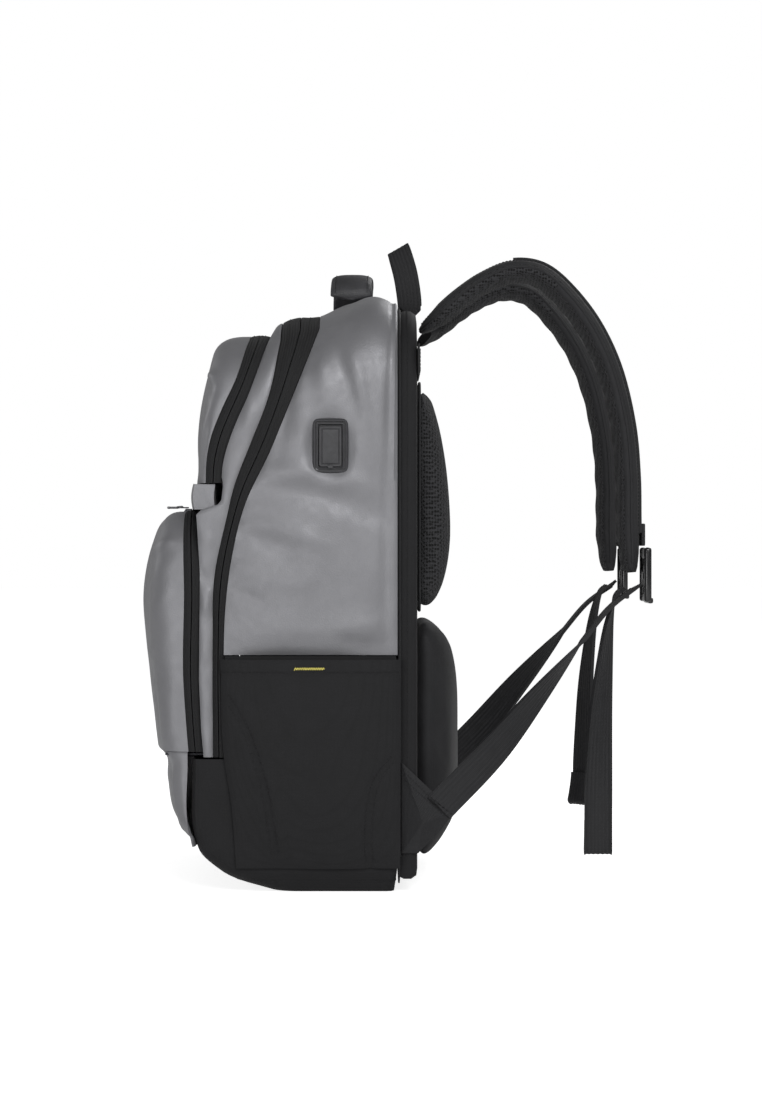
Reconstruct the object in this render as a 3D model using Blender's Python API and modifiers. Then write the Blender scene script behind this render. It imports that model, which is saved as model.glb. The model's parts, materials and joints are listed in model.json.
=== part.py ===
"""Clamshell charging backpack, built as separate sewn panels, padding, webbing and hardware.

Metres, +Z up. The bag stands on its base: the front faces -Y, the back panel and the
shoulder straps are at +Y, and the width runs along X. The wearer's left is -X.
"""

import math

import bmesh
import bpy
import numpy
from mathutils import Matrix, Vector

# ---- driving dimensions ----------------------------------------------------------------
HALF_WIDTH = 0.148              # bag body, without the bottle pockets
BAG_TOP = 0.4820                # highest point of the body
ARCH_RADIUS = 0.070             # round of the bag's top corners
FABRIC = 0.0022                 # sewn panel with its lining
TAPE = 0.0016                   # zip tape
GAP = 0.0004                    # clearance left between pieces that touch
SEAM = 0.0010                   # clearance between two panels that meet edge to edge

HEM_Z = 0.1080                  # lower end of every zip, where the front panel folds
GREY_BASE_Z = 0.1900            # lower edge of the coated side fabric
LIFT_Z = 0.2000                 # above this height the sides lean with the bag's top line
BACK_Y = 0.0740                 # rear edge of the gusset
POCKET_SPLIT_Z = 0.3270         # fold line of the upper pocket
LOWER_POCKET_TOP = 0.3060       # top of the lower pocket's cover

PANEL_HINGE = (-0.1275, 0.1083)     # (y, z) of the front panel's fold
UPPER_HINGE = (-0.0975, 0.3260)     # (y, z) of the upper cover's fold
LOWER_HINGE = (-0.1285, 0.1120)     # (y, z) of the lower cover's fold

HANDLE_AXIS = (0.0360, 0.4830)
LOOP_AXIS = (0.0855, 0.4760)
STRAP_AXIS = (0.0890, 0.4520)
BUCKLE_AXIS = (0.2780, 0.2745)
TAIL_AXIS = (0.2480, 0.2330)
USB_CENTRE = (0.0204, 0.3576)       # (y, z) on the right side panel
USB_SIZE = (0.0280, 0.0432)

WEBBING_WIDTH = 0.0250
WEBBING_THICKNESS = 0.0016

# Heights at which the side panels have an edge.
LEVELS = (0.130, 0.160, 0.190, 0.230, 0.263, 0.290, 0.314, 0.321, 0.327, 0.350, 0.379)

# Depth y of each edge at height z: side view of the seams, from the hem to the top.
MAIN_ZIP_FRONT = [(0.108, -0.0725), (0.200, -0.0728), (0.263, -0.0712), (0.314, -0.0616),
                  (0.340, -0.0560), (0.379, -0.0424), (0.421, -0.0270), (0.462, -0.0195)]
MAIN_ZIP_REAR = [(0.108, -0.0648), (0.186, -0.0660), (0.233, -0.0645), (0.274, -0.0600),
                 (0.329, -0.0472), (0.375, -0.0256), (0.407, -0.0120), (0.433, -0.0020),
                 (0.467, 0.0100)]
UPPER_ZIP_FRONT = [(0.327, -0.0792), (0.346, -0.0785), (0.364, -0.0752), (0.385, -0.0672),
                   (0.411, -0.0555), (0.446, -0.0460)]
UPPER_ZIP_REAR = [(0.327, -0.0680), (0.344, -0.0665), (0.362, -0.0616), (0.379, -0.0550),
                  (0.398, -0.0465), (0.418, -0.0395), (0.450, -0.0300)]
LOWER_ZIP_FRONT = [(0.108, -0.0925), (0.139, -0.0950), (0.171, -0.0970), (0.247, -0.0965),
                   (0.306, -0.0985)]
LOWER_ZIP_REAR = [(0.108, -0.0820), (0.130, -0.0840), (0.171, -0.0858), (0.263, -0.0850),
                  (0.306, -0.0880)]

# Height of the bag's top at depth y, over the middle of the bag.
TOP_LINE = [(-0.0945, 0.4440), (-0.0560, 0.4500), (-0.0300, 0.4560), (-0.0195, 0.4621),
            (0.0100, 0.4673), (0.0350, 0.4759), (0.0574, BAG_TOP), (0.0740, 0.4765)]

# Depth y of the front faces at height z, over the middle of the bag.
UPPER_FACE = [(0.327, -0.0950), (0.369, -0.0925), (0.393, -0.0895), (0.450, -0.0790)]
LOWER_FACE = [(0.108, -0.1275), (0.163, -0.1345), (0.203, -0.1370), (0.240, -0.1380),
              (0.269, -0.1345), (0.306, -0.1245)]
BASE_FACE = [(0.0365, -0.0945), (0.040, -0.1030), (0.054, -0.1130), (0.085, -0.1200),
             (0.107, -0.1225)]
TUB_FACE = [(0.000, -0.0300), (0.0087, -0.0558), (0.0193, -0.0720), (0.0300, -0.0835),
            (0.0450, -0.0885), (0.107, -0.0905)]


def value_at(table, key):
    """Straight-line value of a (key, value) table."""
    return float(numpy.interp(key, [row[0] for row in table], [row[1] for row in table]))


# ---- scene, materials and small builders -------------------------------------------------
for leftover in list(bpy.data.objects):
    bpy.data.objects.remove(leftover, do_unlink=True)

PARTS = bpy.data.collections.new("charging_backpack")
CUTTERS = bpy.data.collections.new("cutters")
bpy.context.scene.collection.children.link(PARTS)
bpy.context.scene.collection.children.link(CUTTERS)

FINISHES = {                    # colour, roughness, metallic
    "coated_grey": ((0.32, 0.32, 0.34), 0.42, 0.35),
    "black_nylon": ((0.025, 0.025, 0.028), 0.75, 0.0),
    "zip_tape": ((0.015, 0.015, 0.016), 0.80, 0.0),
    "lining": ((0.09, 0.09, 0.10), 0.85, 0.0),
    "air_mesh": ((0.030, 0.030, 0.033), 0.90, 0.0),
    "strap_fabric": ((0.035, 0.035, 0.038), 0.70, 0.0),
    "webbing": ((0.028, 0.028, 0.030), 0.65, 0.0),
    "handle_leather": ((0.055, 0.055, 0.060), 0.50, 0.0),
    "rubber": ((0.060, 0.060, 0.063), 0.60, 0.0),
    "gloss_plastic": ((0.012, 0.012, 0.013), 0.20, 0.0),
    "zip_metal": ((0.050, 0.050, 0.055), 0.30, 0.9),
    "yellow_thread": ((0.75, 0.68, 0.20), 0.60, 0.0),
    "bright_metal": ((0.70, 0.70, 0.72), 0.25, 1.0),
}


def make_material(node, finish):
    """A material of the node's own, with the finish's colour, roughness and metallic."""
    colour, roughness, metallic = FINISHES[finish]
    material = bpy.data.materials.new(node)
    material.use_nodes = True
    shader = material.node_tree.nodes["Principled BSDF"]
    shader.inputs["Base Color"].default_value = (*colour, 1.0)
    shader.inputs["Roughness"].default_value = roughness
    shader.inputs["Metallic"].default_value = metallic
    return material


def add_part(name, bm, finish, pivot=(0.0, 0.0, 0.0), smooth=True):
    """Turn a bmesh in world coordinates into a part with its origin on the pivot."""
    mesh = bpy.data.meshes.new(name)
    bmesh.ops.translate(bm, verts=bm.verts, vec=-Vector(pivot))
    bm.to_mesh(mesh)
    bm.free()
    part = bpy.data.objects.new(name, mesh)
    part.location = pivot
    mesh.materials.append(make_material(name, finish))
    if smooth:
        mesh.shade_smooth()
        mesh.set_sharp_from_angle(angle=math.radians(40))
    PARTS.objects.link(part)
    return part


def add_solidify(part, thickness):
    """Thicken an open sheet inwards, away from its outer face."""
    solid = part.modifiers.new("thickness", "SOLIDIFY")
    solid.thickness = thickness
    solid.offset = -1.0
    solid.use_even_offset = True
    return solid


def add_bevel(part, width, segments=2):
    """Round the sharp edges of a part."""
    bevel = part.modifiers.new("edges", "BEVEL")
    bevel.width = width
    bevel.segments = segments
    bevel.limit_method = "ANGLE"
    return bevel


def grid_bmesh(rows, inside):
    """Quads over rows of points, facing away from the point inside."""
    bm = bmesh.new()
    grid = [[bm.verts.new(point) for point in row] for row in rows]
    for row, above in zip(grid, grid[1:]):
        for k in range(len(row) - 1):
            bm.faces.new((row[k], row[k + 1], above[k + 1], above[k]))
    bmesh.ops.remove_doubles(bm, verts=bm.verts, dist=0.00005)
    bmesh.ops.dissolve_degenerate(bm, edges=bm.edges, dist=0.00005)
    bm.normal_update()
    centre = Vector(inside)
    outward = sum(f.normal.dot(f.calc_center_median() - centre) * f.calc_area()
                  for f in bm.faces)
    if outward < 0:
        bmesh.ops.reverse_faces(bm, faces=bm.faces)
    return bm


def loft_bmesh(rings):
    """A closed skin over rings of equal length, with flat ends."""
    bm = bmesh.new()
    loops = [[bm.verts.new(point) for point in ring] for ring in rings]
    count = len(loops[0])
    for ring, above in zip(loops, loops[1:]):
        for k in range(count):
            n = (k + 1) % count
            bm.faces.new((ring[k], ring[n], above[n], above[k]))
    bm.faces.new(list(reversed(loops[0])))
    bm.faces.new(loops[-1])
    bmesh.ops.recalc_face_normals(bm, faces=bm.faces)
    return bm


def box_bmesh(low, high):
    """A box between two corners."""
    bm = bmesh.new()
    low, high = Vector(low), Vector(high)
    bmesh.ops.create_cube(bm, size=1.0)
    bmesh.ops.scale(bm, vec=high - low, verts=bm.verts)
    bmesh.ops.translate(bm, vec=(low + high) / 2, verts=bm.verts)
    return bm


def add_cutter(name, low, high):
    """A hidden box, for cutting parts with."""
    bm = box_bmesh(low, high)
    mesh = bpy.data.meshes.new(name)
    bm.to_mesh(mesh)
    bm.free()
    cutter = bpy.data.objects.new(name, mesh)
    cutter.hide_render = True
    cutter.display_type = "WIRE"
    CUTTERS.objects.link(cutter)
    return cutter


def cut(part, cutter):
    """Take a cutter out of a part."""
    boolean = part.modifiers.new(cutter.name, "BOOLEAN")
    boolean.operation = "DIFFERENCE"
    boolean.solver = "EXACT"
    boolean.object = cutter


def smooth_path(points, steps):
    """Points along a Catmull-Rom curve through the given ones."""
    knots = [Vector(p) for p in points]
    knots = [2 * knots[0] - knots[1]] + knots + [2 * knots[-1] - knots[-2]]
    path = []
    spans = len(knots) - 3
    for i in range(steps + 1):
        at = min(i * spans / steps, spans - 1e-9)
        k = int(at)
        t = at - k
        a, b, c, d = knots[k:k + 4]
        path.append(0.5 * ((2 * b) + (c - a) * t + (2 * a - 5 * b + 4 * c - d) * t * t
                           + (3 * b - a - 3 * c + d) * t ** 3))
    return path


def mirrored(points):
    """The same points on the other side of the bag."""
    return [(-p[0], p[1], p[2]) for p in points]


# ---- the arch: one side, over the top and down the other side ----------------------------


def arch(half_width, base, top, radius, levels=LEVELS, arc_steps=5, top_steps=4):
    """(x, z) points from the lower left, over the top, to the lower right."""
    shoulder = top - radius
    left = [(-half_width, base)]
    left += [(-half_width, z) for z in levels if base + 0.005 < z < shoulder - 0.010]
    for k in range(arc_steps + 1):
        turn = math.pi - (math.pi / 2) * k / arc_steps
        left.append((-half_width + radius + radius * math.cos(turn),
                     shoulder + radius * math.sin(turn)))
    flat = half_width - radius
    middle = [(-flat + 2 * flat * k / top_steps, top) for k in range(1, top_steps)]
    right = [(-x, z) for x, z in reversed(left)]
    return left + middle + right


def arch_strip(front, rear, base, columns):
    """Rows of points on the gusset between two seams."""
    rows = []
    for x, z in arch(HALF_WIDTH, base, BAG_TOP, ARCH_RADIUS):
        share = max(0.0, (z - LIFT_Z) / (BAG_TOP - LIFT_Z))
        front_y = value_at(front, z)
        rear_y = value_at(rear, z)
        row = []
        for k in range(columns + 1):
            y = front_y + (rear_y - front_y) * k / columns
            row.append((x, y, z + share * (value_at(TOP_LINE, y) - BAG_TOP)))
        rows.append(row)
    return rows


def shifted(table, amount):
    """The same seam, moved along Y."""
    return [(key, value + amount) for key, value in table]


def between(first, second, share):
    """The seam that runs between two seams."""
    keys = sorted({row[0] for row in first} | {row[0] for row in second})
    return [(z, value_at(first, z) * (1 - share) + value_at(second, z) * share) for z in keys]


INSIDE = (0.0, 0.0, 0.25)


def make_body_shell():
    """The coated gusset behind the main zip, and the zip's two tapes."""
    rear_edge = [(0.0, BACK_Y), (0.6, BACK_Y)]
    split = between(MAIN_ZIP_FRONT, MAIN_ZIP_REAR, 0.5)
    rows = arch_strip(shifted(MAIN_ZIP_REAR, SEAM), rear_edge, GREY_BASE_Z + GAP, 4)
    add_solidify(add_part("main_gusset", grid_bmesh(rows, INSIDE), "coated_grey"), FABRIC)

    rows = arch_strip(shifted(split, GAP), MAIN_ZIP_REAR, HEM_Z + GAP, 1)
    tape = add_part("rear_zip_tape", grid_bmesh(rows, INSIDE), "zip_tape")
    add_solidify(tape, TAPE)

    pivot = (0.0, *PANEL_HINGE)
    rows = arch_strip(MAIN_ZIP_FRONT, shifted(split, -GAP), HEM_Z + 2 * GAP, 1)
    tape = add_part("front_zip_tape", grid_bmesh(rows, INSIDE), "zip_tape", pivot)
    add_solidify(tape, TAPE)

    # The grey strip in front of the zip runs out to the lower pocket, then steps back.
    front = [(z, y) for z, y in LOWER_ZIP_REAR if z < 0.30]
    front += [(POCKET_SPLIT_Z - 0.006, -0.0880), (POCKET_SPLIT_Z, -0.0680)]
    front += [(z, y) for z, y in UPPER_ZIP_REAR if z > POCKET_SPLIT_Z]
    rows = arch_strip(shifted(front, SEAM), shifted(MAIN_ZIP_FRONT, -SEAM), HEM_Z + 2 * GAP,
                      2)
    strip = add_part("front_gusset", grid_bmesh(rows, INSIDE), "coated_grey", pivot)
    add_solidify(strip, FABRIC)


def make_organizer():
    """The front panel's inner wall, pocket floor and the fabric between its two pockets."""
    pivot = (0.0, *PANEL_HINGE)
    outline = arch(HALF_WIDTH - 0.004, HEM_Z + 0.0035, 0.4510, ARCH_RADIUS - 0.004)
    half = len(outline) // 2
    rows = []
    for (x, z), (other_x, _) in zip(outline[:half + 1], reversed(outline[half:])):
        y = value_at(MAIN_ZIP_FRONT, z) - 0.004
        rows.append([(x + (other_x - x) * k / 4, y, z) for k in range(5)])
    wall = add_part("organizer_wall", grid_bmesh(rows, (0.0, -0.3, 0.25)), "lining", pivot)
    add_solidify(wall, 0.0018)

    floor = box_bmesh((-0.135, -0.1130, HEM_Z + 0.0012), (0.135, -0.0765, HEM_Z + 0.0030))
    add_part("pocket_floor", floor, "lining", pivot, smooth=False)

    rings = []
    for z in (LOWER_POCKET_TOP + 0.0050, POCKET_SPLIT_Z - 0.0035):
        ring = [(side * (HALF_WIDTH - 0.003), y, z) for side, y in ((1, -0.0720), (-1, -0.0720))]
        for k in range(7):
            u = -1 + k / 3
            bow = 0.0080 * (1 - abs(u) ** 2.5)
            ring.append((u * (HALF_WIDTH - 0.003), -0.0885 - bow, z))
        rings.append(ring)
    add_bevel(add_part("mid_panel", loft_bmesh(rings), "coated_grey", pivot), 0.0015)


# ---- pocket covers -----------------------------------------------------------------------
def cover_rows(outline, edge, face, side_drop):
    """Rings from a cover's zip edge, round its rim, to the middle line of its face."""
    rim = ((0.0, 0.0), (0.0005, 0.55), (0.0060, 0.86), (0.0220, 1.0))
    top = max(z for _, z in outline)
    widest = max(x for x, _ in outline)
    rings = []
    for x, z in outline:
        start = Vector((x, 0.0, z))
        centre = Vector((0.0, 0.0, min(z, top - 0.050)))
        inward = centre - start
        length = inward.length
        ring = []
        for inset, forward in rim:
            spot = start + inward * min(inset / length, 1.0) if length else start
            face_y = value_at(face, spot.z) + side_drop * (spot.x / widest) ** 2
            y = value_at(edge, z) * (1 - forward) + face_y * forward
            ring.append((spot.x, y, spot.z))
        for share in (0.45, 1.0):
            spot = start + inward * share
            face_y = value_at(face, spot.z) + side_drop * (spot.x / widest) ** 2
            ring.append((spot.x, face_y, spot.z))
        rings.append(ring)
    return rings


def tape_rows(outline, front, rear):
    """A zip tape that follows a pocket's outline between two seams."""
    rows = []
    for x, z in outline:
        front_y, rear_y = value_at(front, z), value_at(rear, z)
        rows.append([(x, front_y, z), (x, rear_y, z)])
    return rows


def make_pocket(label, outline, front, rear, face, side_drop, cover_hinge):
    """A pocket cover with the zip tape on it, and the tape that stays on the front panel."""
    split = between(front, rear, 0.5)
    pivot = (0.0, *cover_hinge)
    inside = (0.0, value_at(rear, outline[0][1]) + 0.05, outline[0][1] + 0.05)
    rows = cover_rows(outline, shifted(front, -GAP), face, side_drop)
    cover = add_part(label + "_pocket_cover", grid_bmesh(rows, inside), "coated_grey", pivot)
    add_solidify(cover, FABRIC)
    rows = tape_rows(outline, shifted(front, GAP), shifted(split, -GAP))
    tape = add_part(label + "_zip_tape_outer", grid_bmesh(rows, inside), "zip_tape", pivot)
    add_solidify(tape, TAPE)
    rows = tape_rows(outline, shifted(split, GAP), shifted(rear, -GAP))
    panel_pivot = (0.0, *PANEL_HINGE)
    tape = add_part(label + "_zip_tape_inner", grid_bmesh(rows, inside), "zip_tape", panel_pivot)
    add_solidify(tape, TAPE)


def make_pockets():
    """Both front pockets: their covers and zip tapes."""
    upper = arch(HALF_WIDTH - 0.001, POCKET_SPLIT_Z + 0.001, 0.4500, ARCH_RADIUS - 0.010)
    make_pocket("upper", upper, UPPER_ZIP_FRONT, UPPER_ZIP_REAR, UPPER_FACE, 0.012,
                UPPER_HINGE)
    lower = arch(HALF_WIDTH - 0.001, LOWER_HINGE[1] + 0.001, LOWER_POCKET_TOP, 0.050)
    make_pocket("lower", lower, LOWER_ZIP_FRONT, LOWER_ZIP_REAR, LOWER_FACE, 0.016,
                LOWER_HINGE)


# ---- base, lower sides and bottle pockets ------------------------------------------------
def rounded_ring(half_width, front_y, back_y, z, front_radius, back_radius, crown=0.0):
    """A rounded rectangle, from the middle of the back round the bag, anticlockwise."""
    quarter = []
    for k in range(4):
        turn = (math.pi / 2) * k / 3
        quarter.append((half_width - front_radius + front_radius * math.cos(turn),
                        front_y + front_radius - front_radius * math.sin(turn)))
    side = [(half_width, back_y - back_radius), (half_width, 0.01)]
    back = [(half_width - back_radius, back_y), (half_width - 0.3 * back_radius,
                                                 back_y - 0.3 * back_radius)]
    right = [(0.0, back_y), *back, *side, *quarter]
    right.append((0.45 * half_width, front_y - 0.6 * crown))
    left = [(-x, y) for x, y in reversed(right[1:])]
    return [(x, y, z) for x, y in right + [(0.0, front_y - crown)] + left]


def make_base():
    """The black tub under the zips: bottom, lower front and lower sides."""
    rings = []
    for z, front_y in TUB_FACE:
        spread = min(1.0, 0.35 + 40 * z)
        width = HALF_WIDTH - 0.018 * (1 - spread)
        radius = 0.024 - 0.016 * min(1.0, z / 0.045)
        rings.append(rounded_ring(width, front_y, BACK_Y - 0.004 * (1 - spread), z, radius,
                                  0.006))
    bm = bmesh.new()
    loops = [[bm.verts.new(point) for point in ring] for ring in rings]
    count = len(loops[0])
    for ring, above in zip(loops, loops[1:]):
        for k in range(count):
            n = (k + 1) % count
            bm.faces.new((ring[k], ring[n], above[n], above[k]))
    bm.faces.new(loops[0])
    bmesh.ops.recalc_face_normals(bm, faces=bm.faces)
    bm.normal_update()
    bottom = min(bm.faces, key=lambda f: f.calc_center_median().z)
    if bottom.normal.z > 0:
        bmesh.ops.reverse_faces(bm, faces=bm.faces)
    add_solidify(add_part("base_tub", bm, "black_nylon"), FABRIC)

    rows = []
    half = HALF_WIDTH - 0.004
    rim = ((1.0, 0.0), (0.997, 0.55), (0.960, 0.86), (0.850, 1.0), (0.450, 1.0), (0.0, 1.0))
    for k in range(6):
        z = BASE_FACE[0][0] + (BASE_FACE[-1][0] - BASE_FACE[0][0]) * (k / 5) ** 1.3
        edge_y = value_at(TUB_FACE, z) - FABRIC - 0.0016
        right = []
        for u, forward in rim:
            face_y = value_at(BASE_FACE, z) + 0.016 * u * u
            y = edge_y + (min(face_y, edge_y) - edge_y) * forward
            right.append((u * half, y, z))
        rows.append(mirrored(right) + list(reversed(right[:-1])))
    panel = add_part("lower_front_panel", grid_bmesh(rows, (0.0, 0.0, 0.08)), "coated_grey")
    add_solidify(panel, FABRIC)


def make_sides(side, label):
    """The lining wall of the lower side, the bottle pocket over it and its bar tack."""
    inner = HALF_WIDTH - FABRIC
    wall = box_bmesh((min(side * inner, side * HALF_WIDTH), -0.0640, HEM_Z + 2 * GAP),
                     (max(side * inner, side * HALF_WIDTH), BACK_Y - 0.001,
                      GREY_BASE_Z - GAP))
    add_part("lower_side_" + label, wall, "black_nylon", smooth=False)

    # Bottle pocket: hugs the side at its seams and at its foot, and stands off between.
    rows = []
    heights = (0.020, 0.040, 0.075, 0.120, 0.160, GREY_BASE_Z - 0.003)
    for z in heights:
        rise = (z - heights[0]) / (heights[-1] - heights[0])
        front_y = value_at([(0.014, -0.0544), (0.074, -0.0592), (0.110, -0.0648),
                            (0.190, -0.0672)], z)
        row = []
        for k in range(9):
            share = k / 8
            swell = math.sin(math.pi * share) ** 0.5
            bulge = 0.0005 + FABRIC + 0.0100 * swell * math.sin(math.pi / 2 * rise) ** 0.6
            y = front_y + (BACK_Y + 0.002 - front_y) * share
            row.append((side * (HALF_WIDTH + bulge), y, z))
        rows.append(row)
    pocket = add_part("side_pocket_" + label, grid_bmesh(rows, (0.0, 0.01, 0.10)),
                      "black_nylon")
    add_solidify(pocket, 0.0020)

    low = Vector((side * (HALF_WIDTH + 0.0130), -0.0080, GREY_BASE_Z - 0.0115))
    high = Vector((side * (HALF_WIDTH + 0.0138), 0.0160, GREY_BASE_Z - 0.0085))
    tack = box_bmesh([min(a, b) for a, b in zip(low, high)],
                     [max(a, b) for a, b in zip(low, high)])
    add_part("bar_tack_" + label, tack, "yellow_thread", smooth=False)


# ---- back --------------------------------------------------------------------------------
def pillow_bmesh(outline, back, front_fn, steps=3):
    """A pad on the plane y = back, whose face stands front_fn(x, z) behind it."""
    centre_x = sum(p[0] for p in outline) / len(outline)
    centre_z = sum(p[1] for p in outline) / len(outline)
    bm = bmesh.new()
    base = [bm.verts.new((x, back, z)) for x, z in outline]
    loops = [base]
    for k in range(steps + 1):
        share = k / (steps + 1)
        shrink = 1 - 0.75 * share ** 1.6
        lift = math.sin(math.pi / 2 * (0.45 + 0.55 * min(1.0, share * 1.5)))
        loop = []
        for x, z in outline:
            px = centre_x + (x - centre_x) * shrink
            pz = centre_z + (z - centre_z) * shrink
            loop.append(bm.verts.new((px, back + front_fn(px, pz) * lift, pz)))
        loops.append(loop)
    count = len(base)
    for ring, above in zip(loops, loops[1:]):
        for k in range(count):
            n = (k + 1) % count
            bm.faces.new((ring[k], ring[n], above[n], above[k]))
    bm.faces.new(base)
    bm.faces.new(loops[-1])
    bmesh.ops.triangulate(bm, faces=[f for f in bm.faces if len(f.verts) > 4])
    bmesh.ops.recalc_face_normals(bm, faces=bm.faces)
    return bm


def rounded_outline(low_x, high_x, low_z, high_z, radius, steps=3):
    """A rectangle in x and z with round corners."""
    points = []
    corners = ((high_x - radius, low_z + radius, -90), (high_x - radius, high_z - radius, 0),
               (low_x + radius, high_z - radius, 90), (low_x + radius, low_z + radius, 180))
    for x, z, start in corners:
        for k in range(steps + 1):
            turn = math.radians(start + 90 * k / steps)
            points.append((x + radius * math.cos(turn), z + radius * math.sin(turn)))
    return points


def make_back():
    """The stiffened back panel with its mesh pads, lumbar pad and strap patches."""
    outline = arch(HALF_WIDTH - 0.007, 0.012, 0.4700, ARCH_RADIUS - 0.010, levels=())
    rings = [[(x, y, z) for x, z in outline] for y in (BACK_Y + GAP, 0.0900)]
    back = add_part("back_panel", loft_bmesh(rings), "black_nylon")
    add_bevel(back, 0.004)

    def mesh_depth(x, z):
        """Thickness of a mesh pad at a point of the back."""
        return 0.0060 + 0.0210 * math.sin(math.pi / 2 * min(1.0, (0.415 - z) / 0.150)) ** 0.7

    def lumbar_depth(x, z):
        """Thickness of the lumbar pad at a point of the back."""
        return 0.0330 * min(1.0, 0.55 + (z - 0.018) / 0.080)

    for side, label in ((-1, "left"), (1, "right")):
        outer, inner = side * 0.1200, side * 0.0150
        outline = rounded_outline(min(outer, inner), max(outer, inner), 0.2240, 0.4120, 0.020)
        add_part("back_pad_" + label, pillow_bmesh(outline, 0.0904, mesh_depth), "air_mesh")
        patch = box_bmesh((min(side * 0.0700, side * 0.1440), 0.0905, 0.4145),
                          (max(side * 0.0700, side * 0.1440), 0.0920, 0.4400))
        add_part("anchor_patch_" + label, patch, "webbing", smooth=False)
    outline = rounded_outline(-0.1220, 0.1220, 0.0180, 0.2200, 0.024)
    add_part("lumbar_pad", pillow_bmesh(outline, 0.0904, lumbar_depth), "strap_fabric")


def make_interior():
    """What the main compartment holds: a laptop divider and a power bank pouch."""
    divider = box_bmesh((-0.130, 0.0440, 0.0300), (0.130, 0.0480, 0.3000))
    add_bevel(add_part("laptop_divider", divider, "lining"), 0.0015)

    low, high = Vector((0.1150, 0.0020, 0.2300)), Vector((0.1452, 0.0420, 0.3250))
    pouch = add_part("power_bank_pouch", box_bmesh(low, high), "lining", smooth=False)
    wall = Vector((0.0020, 0.0020, 0.0020))
    hollow = add_cutter("pouch_hollow", low + wall, high - wall + Vector((0, 0, 0.01)))
    cut(pouch, hollow)


# ---- USB port on the right side ----------------------------------------------------------
def make_usb():
    """Rim, socket and top-hinged cover of the charging port."""
    y, z = USB_CENTRE
    half_y, half_z = USB_SIZE[0] / 2, USB_SIZE[1] / 2
    face = HALF_WIDTH + GAP
    rim = add_part("usb_rim", box_bmesh((face, y - half_y, z - half_z),
                                        (face + 0.0040, y + half_y, z + half_z)), "rubber")
    add_bevel(rim, 0.0010)
    well = add_cutter("usb_well", (face + 0.0012, y - half_y + 0.0045, z - half_z + 0.0045),
                      (face + 0.02, y + half_y - 0.0045, z + half_z - 0.0045))
    cut(rim, well)
    socket = add_part("usb_socket", box_bmesh((face + 0.0015, y - 0.0068, z - 0.0100),
                                              (face + 0.0024, y + 0.0068, z + 0.0060)),
                      "bright_metal", smooth=False)
    slot = add_cutter("usb_slot", (face + 0.0018, y - 0.0056, z - 0.0060),
                      (face + 0.02, y + 0.0056, z + 0.0010))
    cut(socket, slot)
    top = z + half_z - 0.0060
    door = box_bmesh((face + 0.0034, y - half_y + 0.0050, z - half_z + 0.0050),
                     (face + 0.0046, y + half_y - 0.0050, top))
    door_part = add_part("usb_cover", door, "rubber", (face + 0.0046, y, top))
    notch = add_cutter("usb_notch", (face + 0.001, y - 0.0025, z - half_z),
                       (face + 0.02, y + 0.0025, z - half_z + 0.0068))
    cut(door_part, notch)


# ---- zip sliders -------------------------------------------------------------------------
def make_slider(name, x, y, z, slope):
    """A slider lying on a zip's top stretch, and its puller lying forwards from it."""
    tilt = Matrix.Rotation(slope, 4, "X")
    place = Matrix.Translation((x, y, z)) @ tilt
    body = box_bmesh((-0.0050, -0.0040, 0.0), (0.0050, 0.0040, 0.0030))
    bmesh.ops.transform(body, matrix=place, verts=body.verts)
    add_bevel(add_part(name + "_slider", body, "zip_metal", (x, y, z)), 0.0008, 1)
    puller = bmesh.new()
    bmesh.ops.create_cube(puller, size=1.0)
    bmesh.ops.scale(puller, vec=(0.0060, 0.0180, 0.0016), verts=puller.verts)
    bmesh.ops.translate(puller, vec=(0.0, -0.0092, 0.0042), verts=puller.verts)
    bmesh.ops.transform(puller, matrix=place, verts=puller.verts)
    pivot = place @ Vector((0.0, 0.0, 0.0042))
    add_bevel(add_part(name + "_puller", puller, "zip_metal", pivot), 0.0006, 1)


def make_sliders():
    """The four zip sliders and their pullers."""
    for side, label in ((-1, "main_left"), (1, "main_right")):
        make_slider(label, side * 0.0070, 0.0010, 0.4680, math.radians(10))
    make_slider("upper", 0.0, -0.0400, 0.4515, math.radians(6))
    make_slider("lower", 0.0, -0.1045, LOWER_POCKET_TOP + 0.0006, 0.0)


# ---- webbing, handle, hang loop and shoulder straps --------------------------------------
def ribbon_bmesh(path, widths, thickness, turns):
    """A flat band along a path. A turn of 0 keeps its width along X, 1 turns it on edge."""
    rings = []
    for k, point in enumerate(path):
        before, after = path[max(k - 1, 0)], path[min(k + 1, len(path) - 1)]
        along = (after - before).normalized()
        across = Vector((1.0, 0.0, 0.0))
        across = (across - along * across.dot(along)).normalized()
        normal = along.cross(across)
        turn = math.pi / 2 * turns[k]
        wide = across * math.cos(turn) + normal * math.sin(turn)
        thin = along.cross(wide).normalized()
        half_wide, half_thin = wide * widths[k] / 2, thin * thickness / 2
        rings.append([point - half_wide - half_thin, point + half_wide - half_thin,
                      point + half_wide + half_thin, point - half_wide + half_thin])
    band = loft_bmesh(rings)
    bmesh.ops.triangulate(band, faces=band.faces)
    return band


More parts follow.
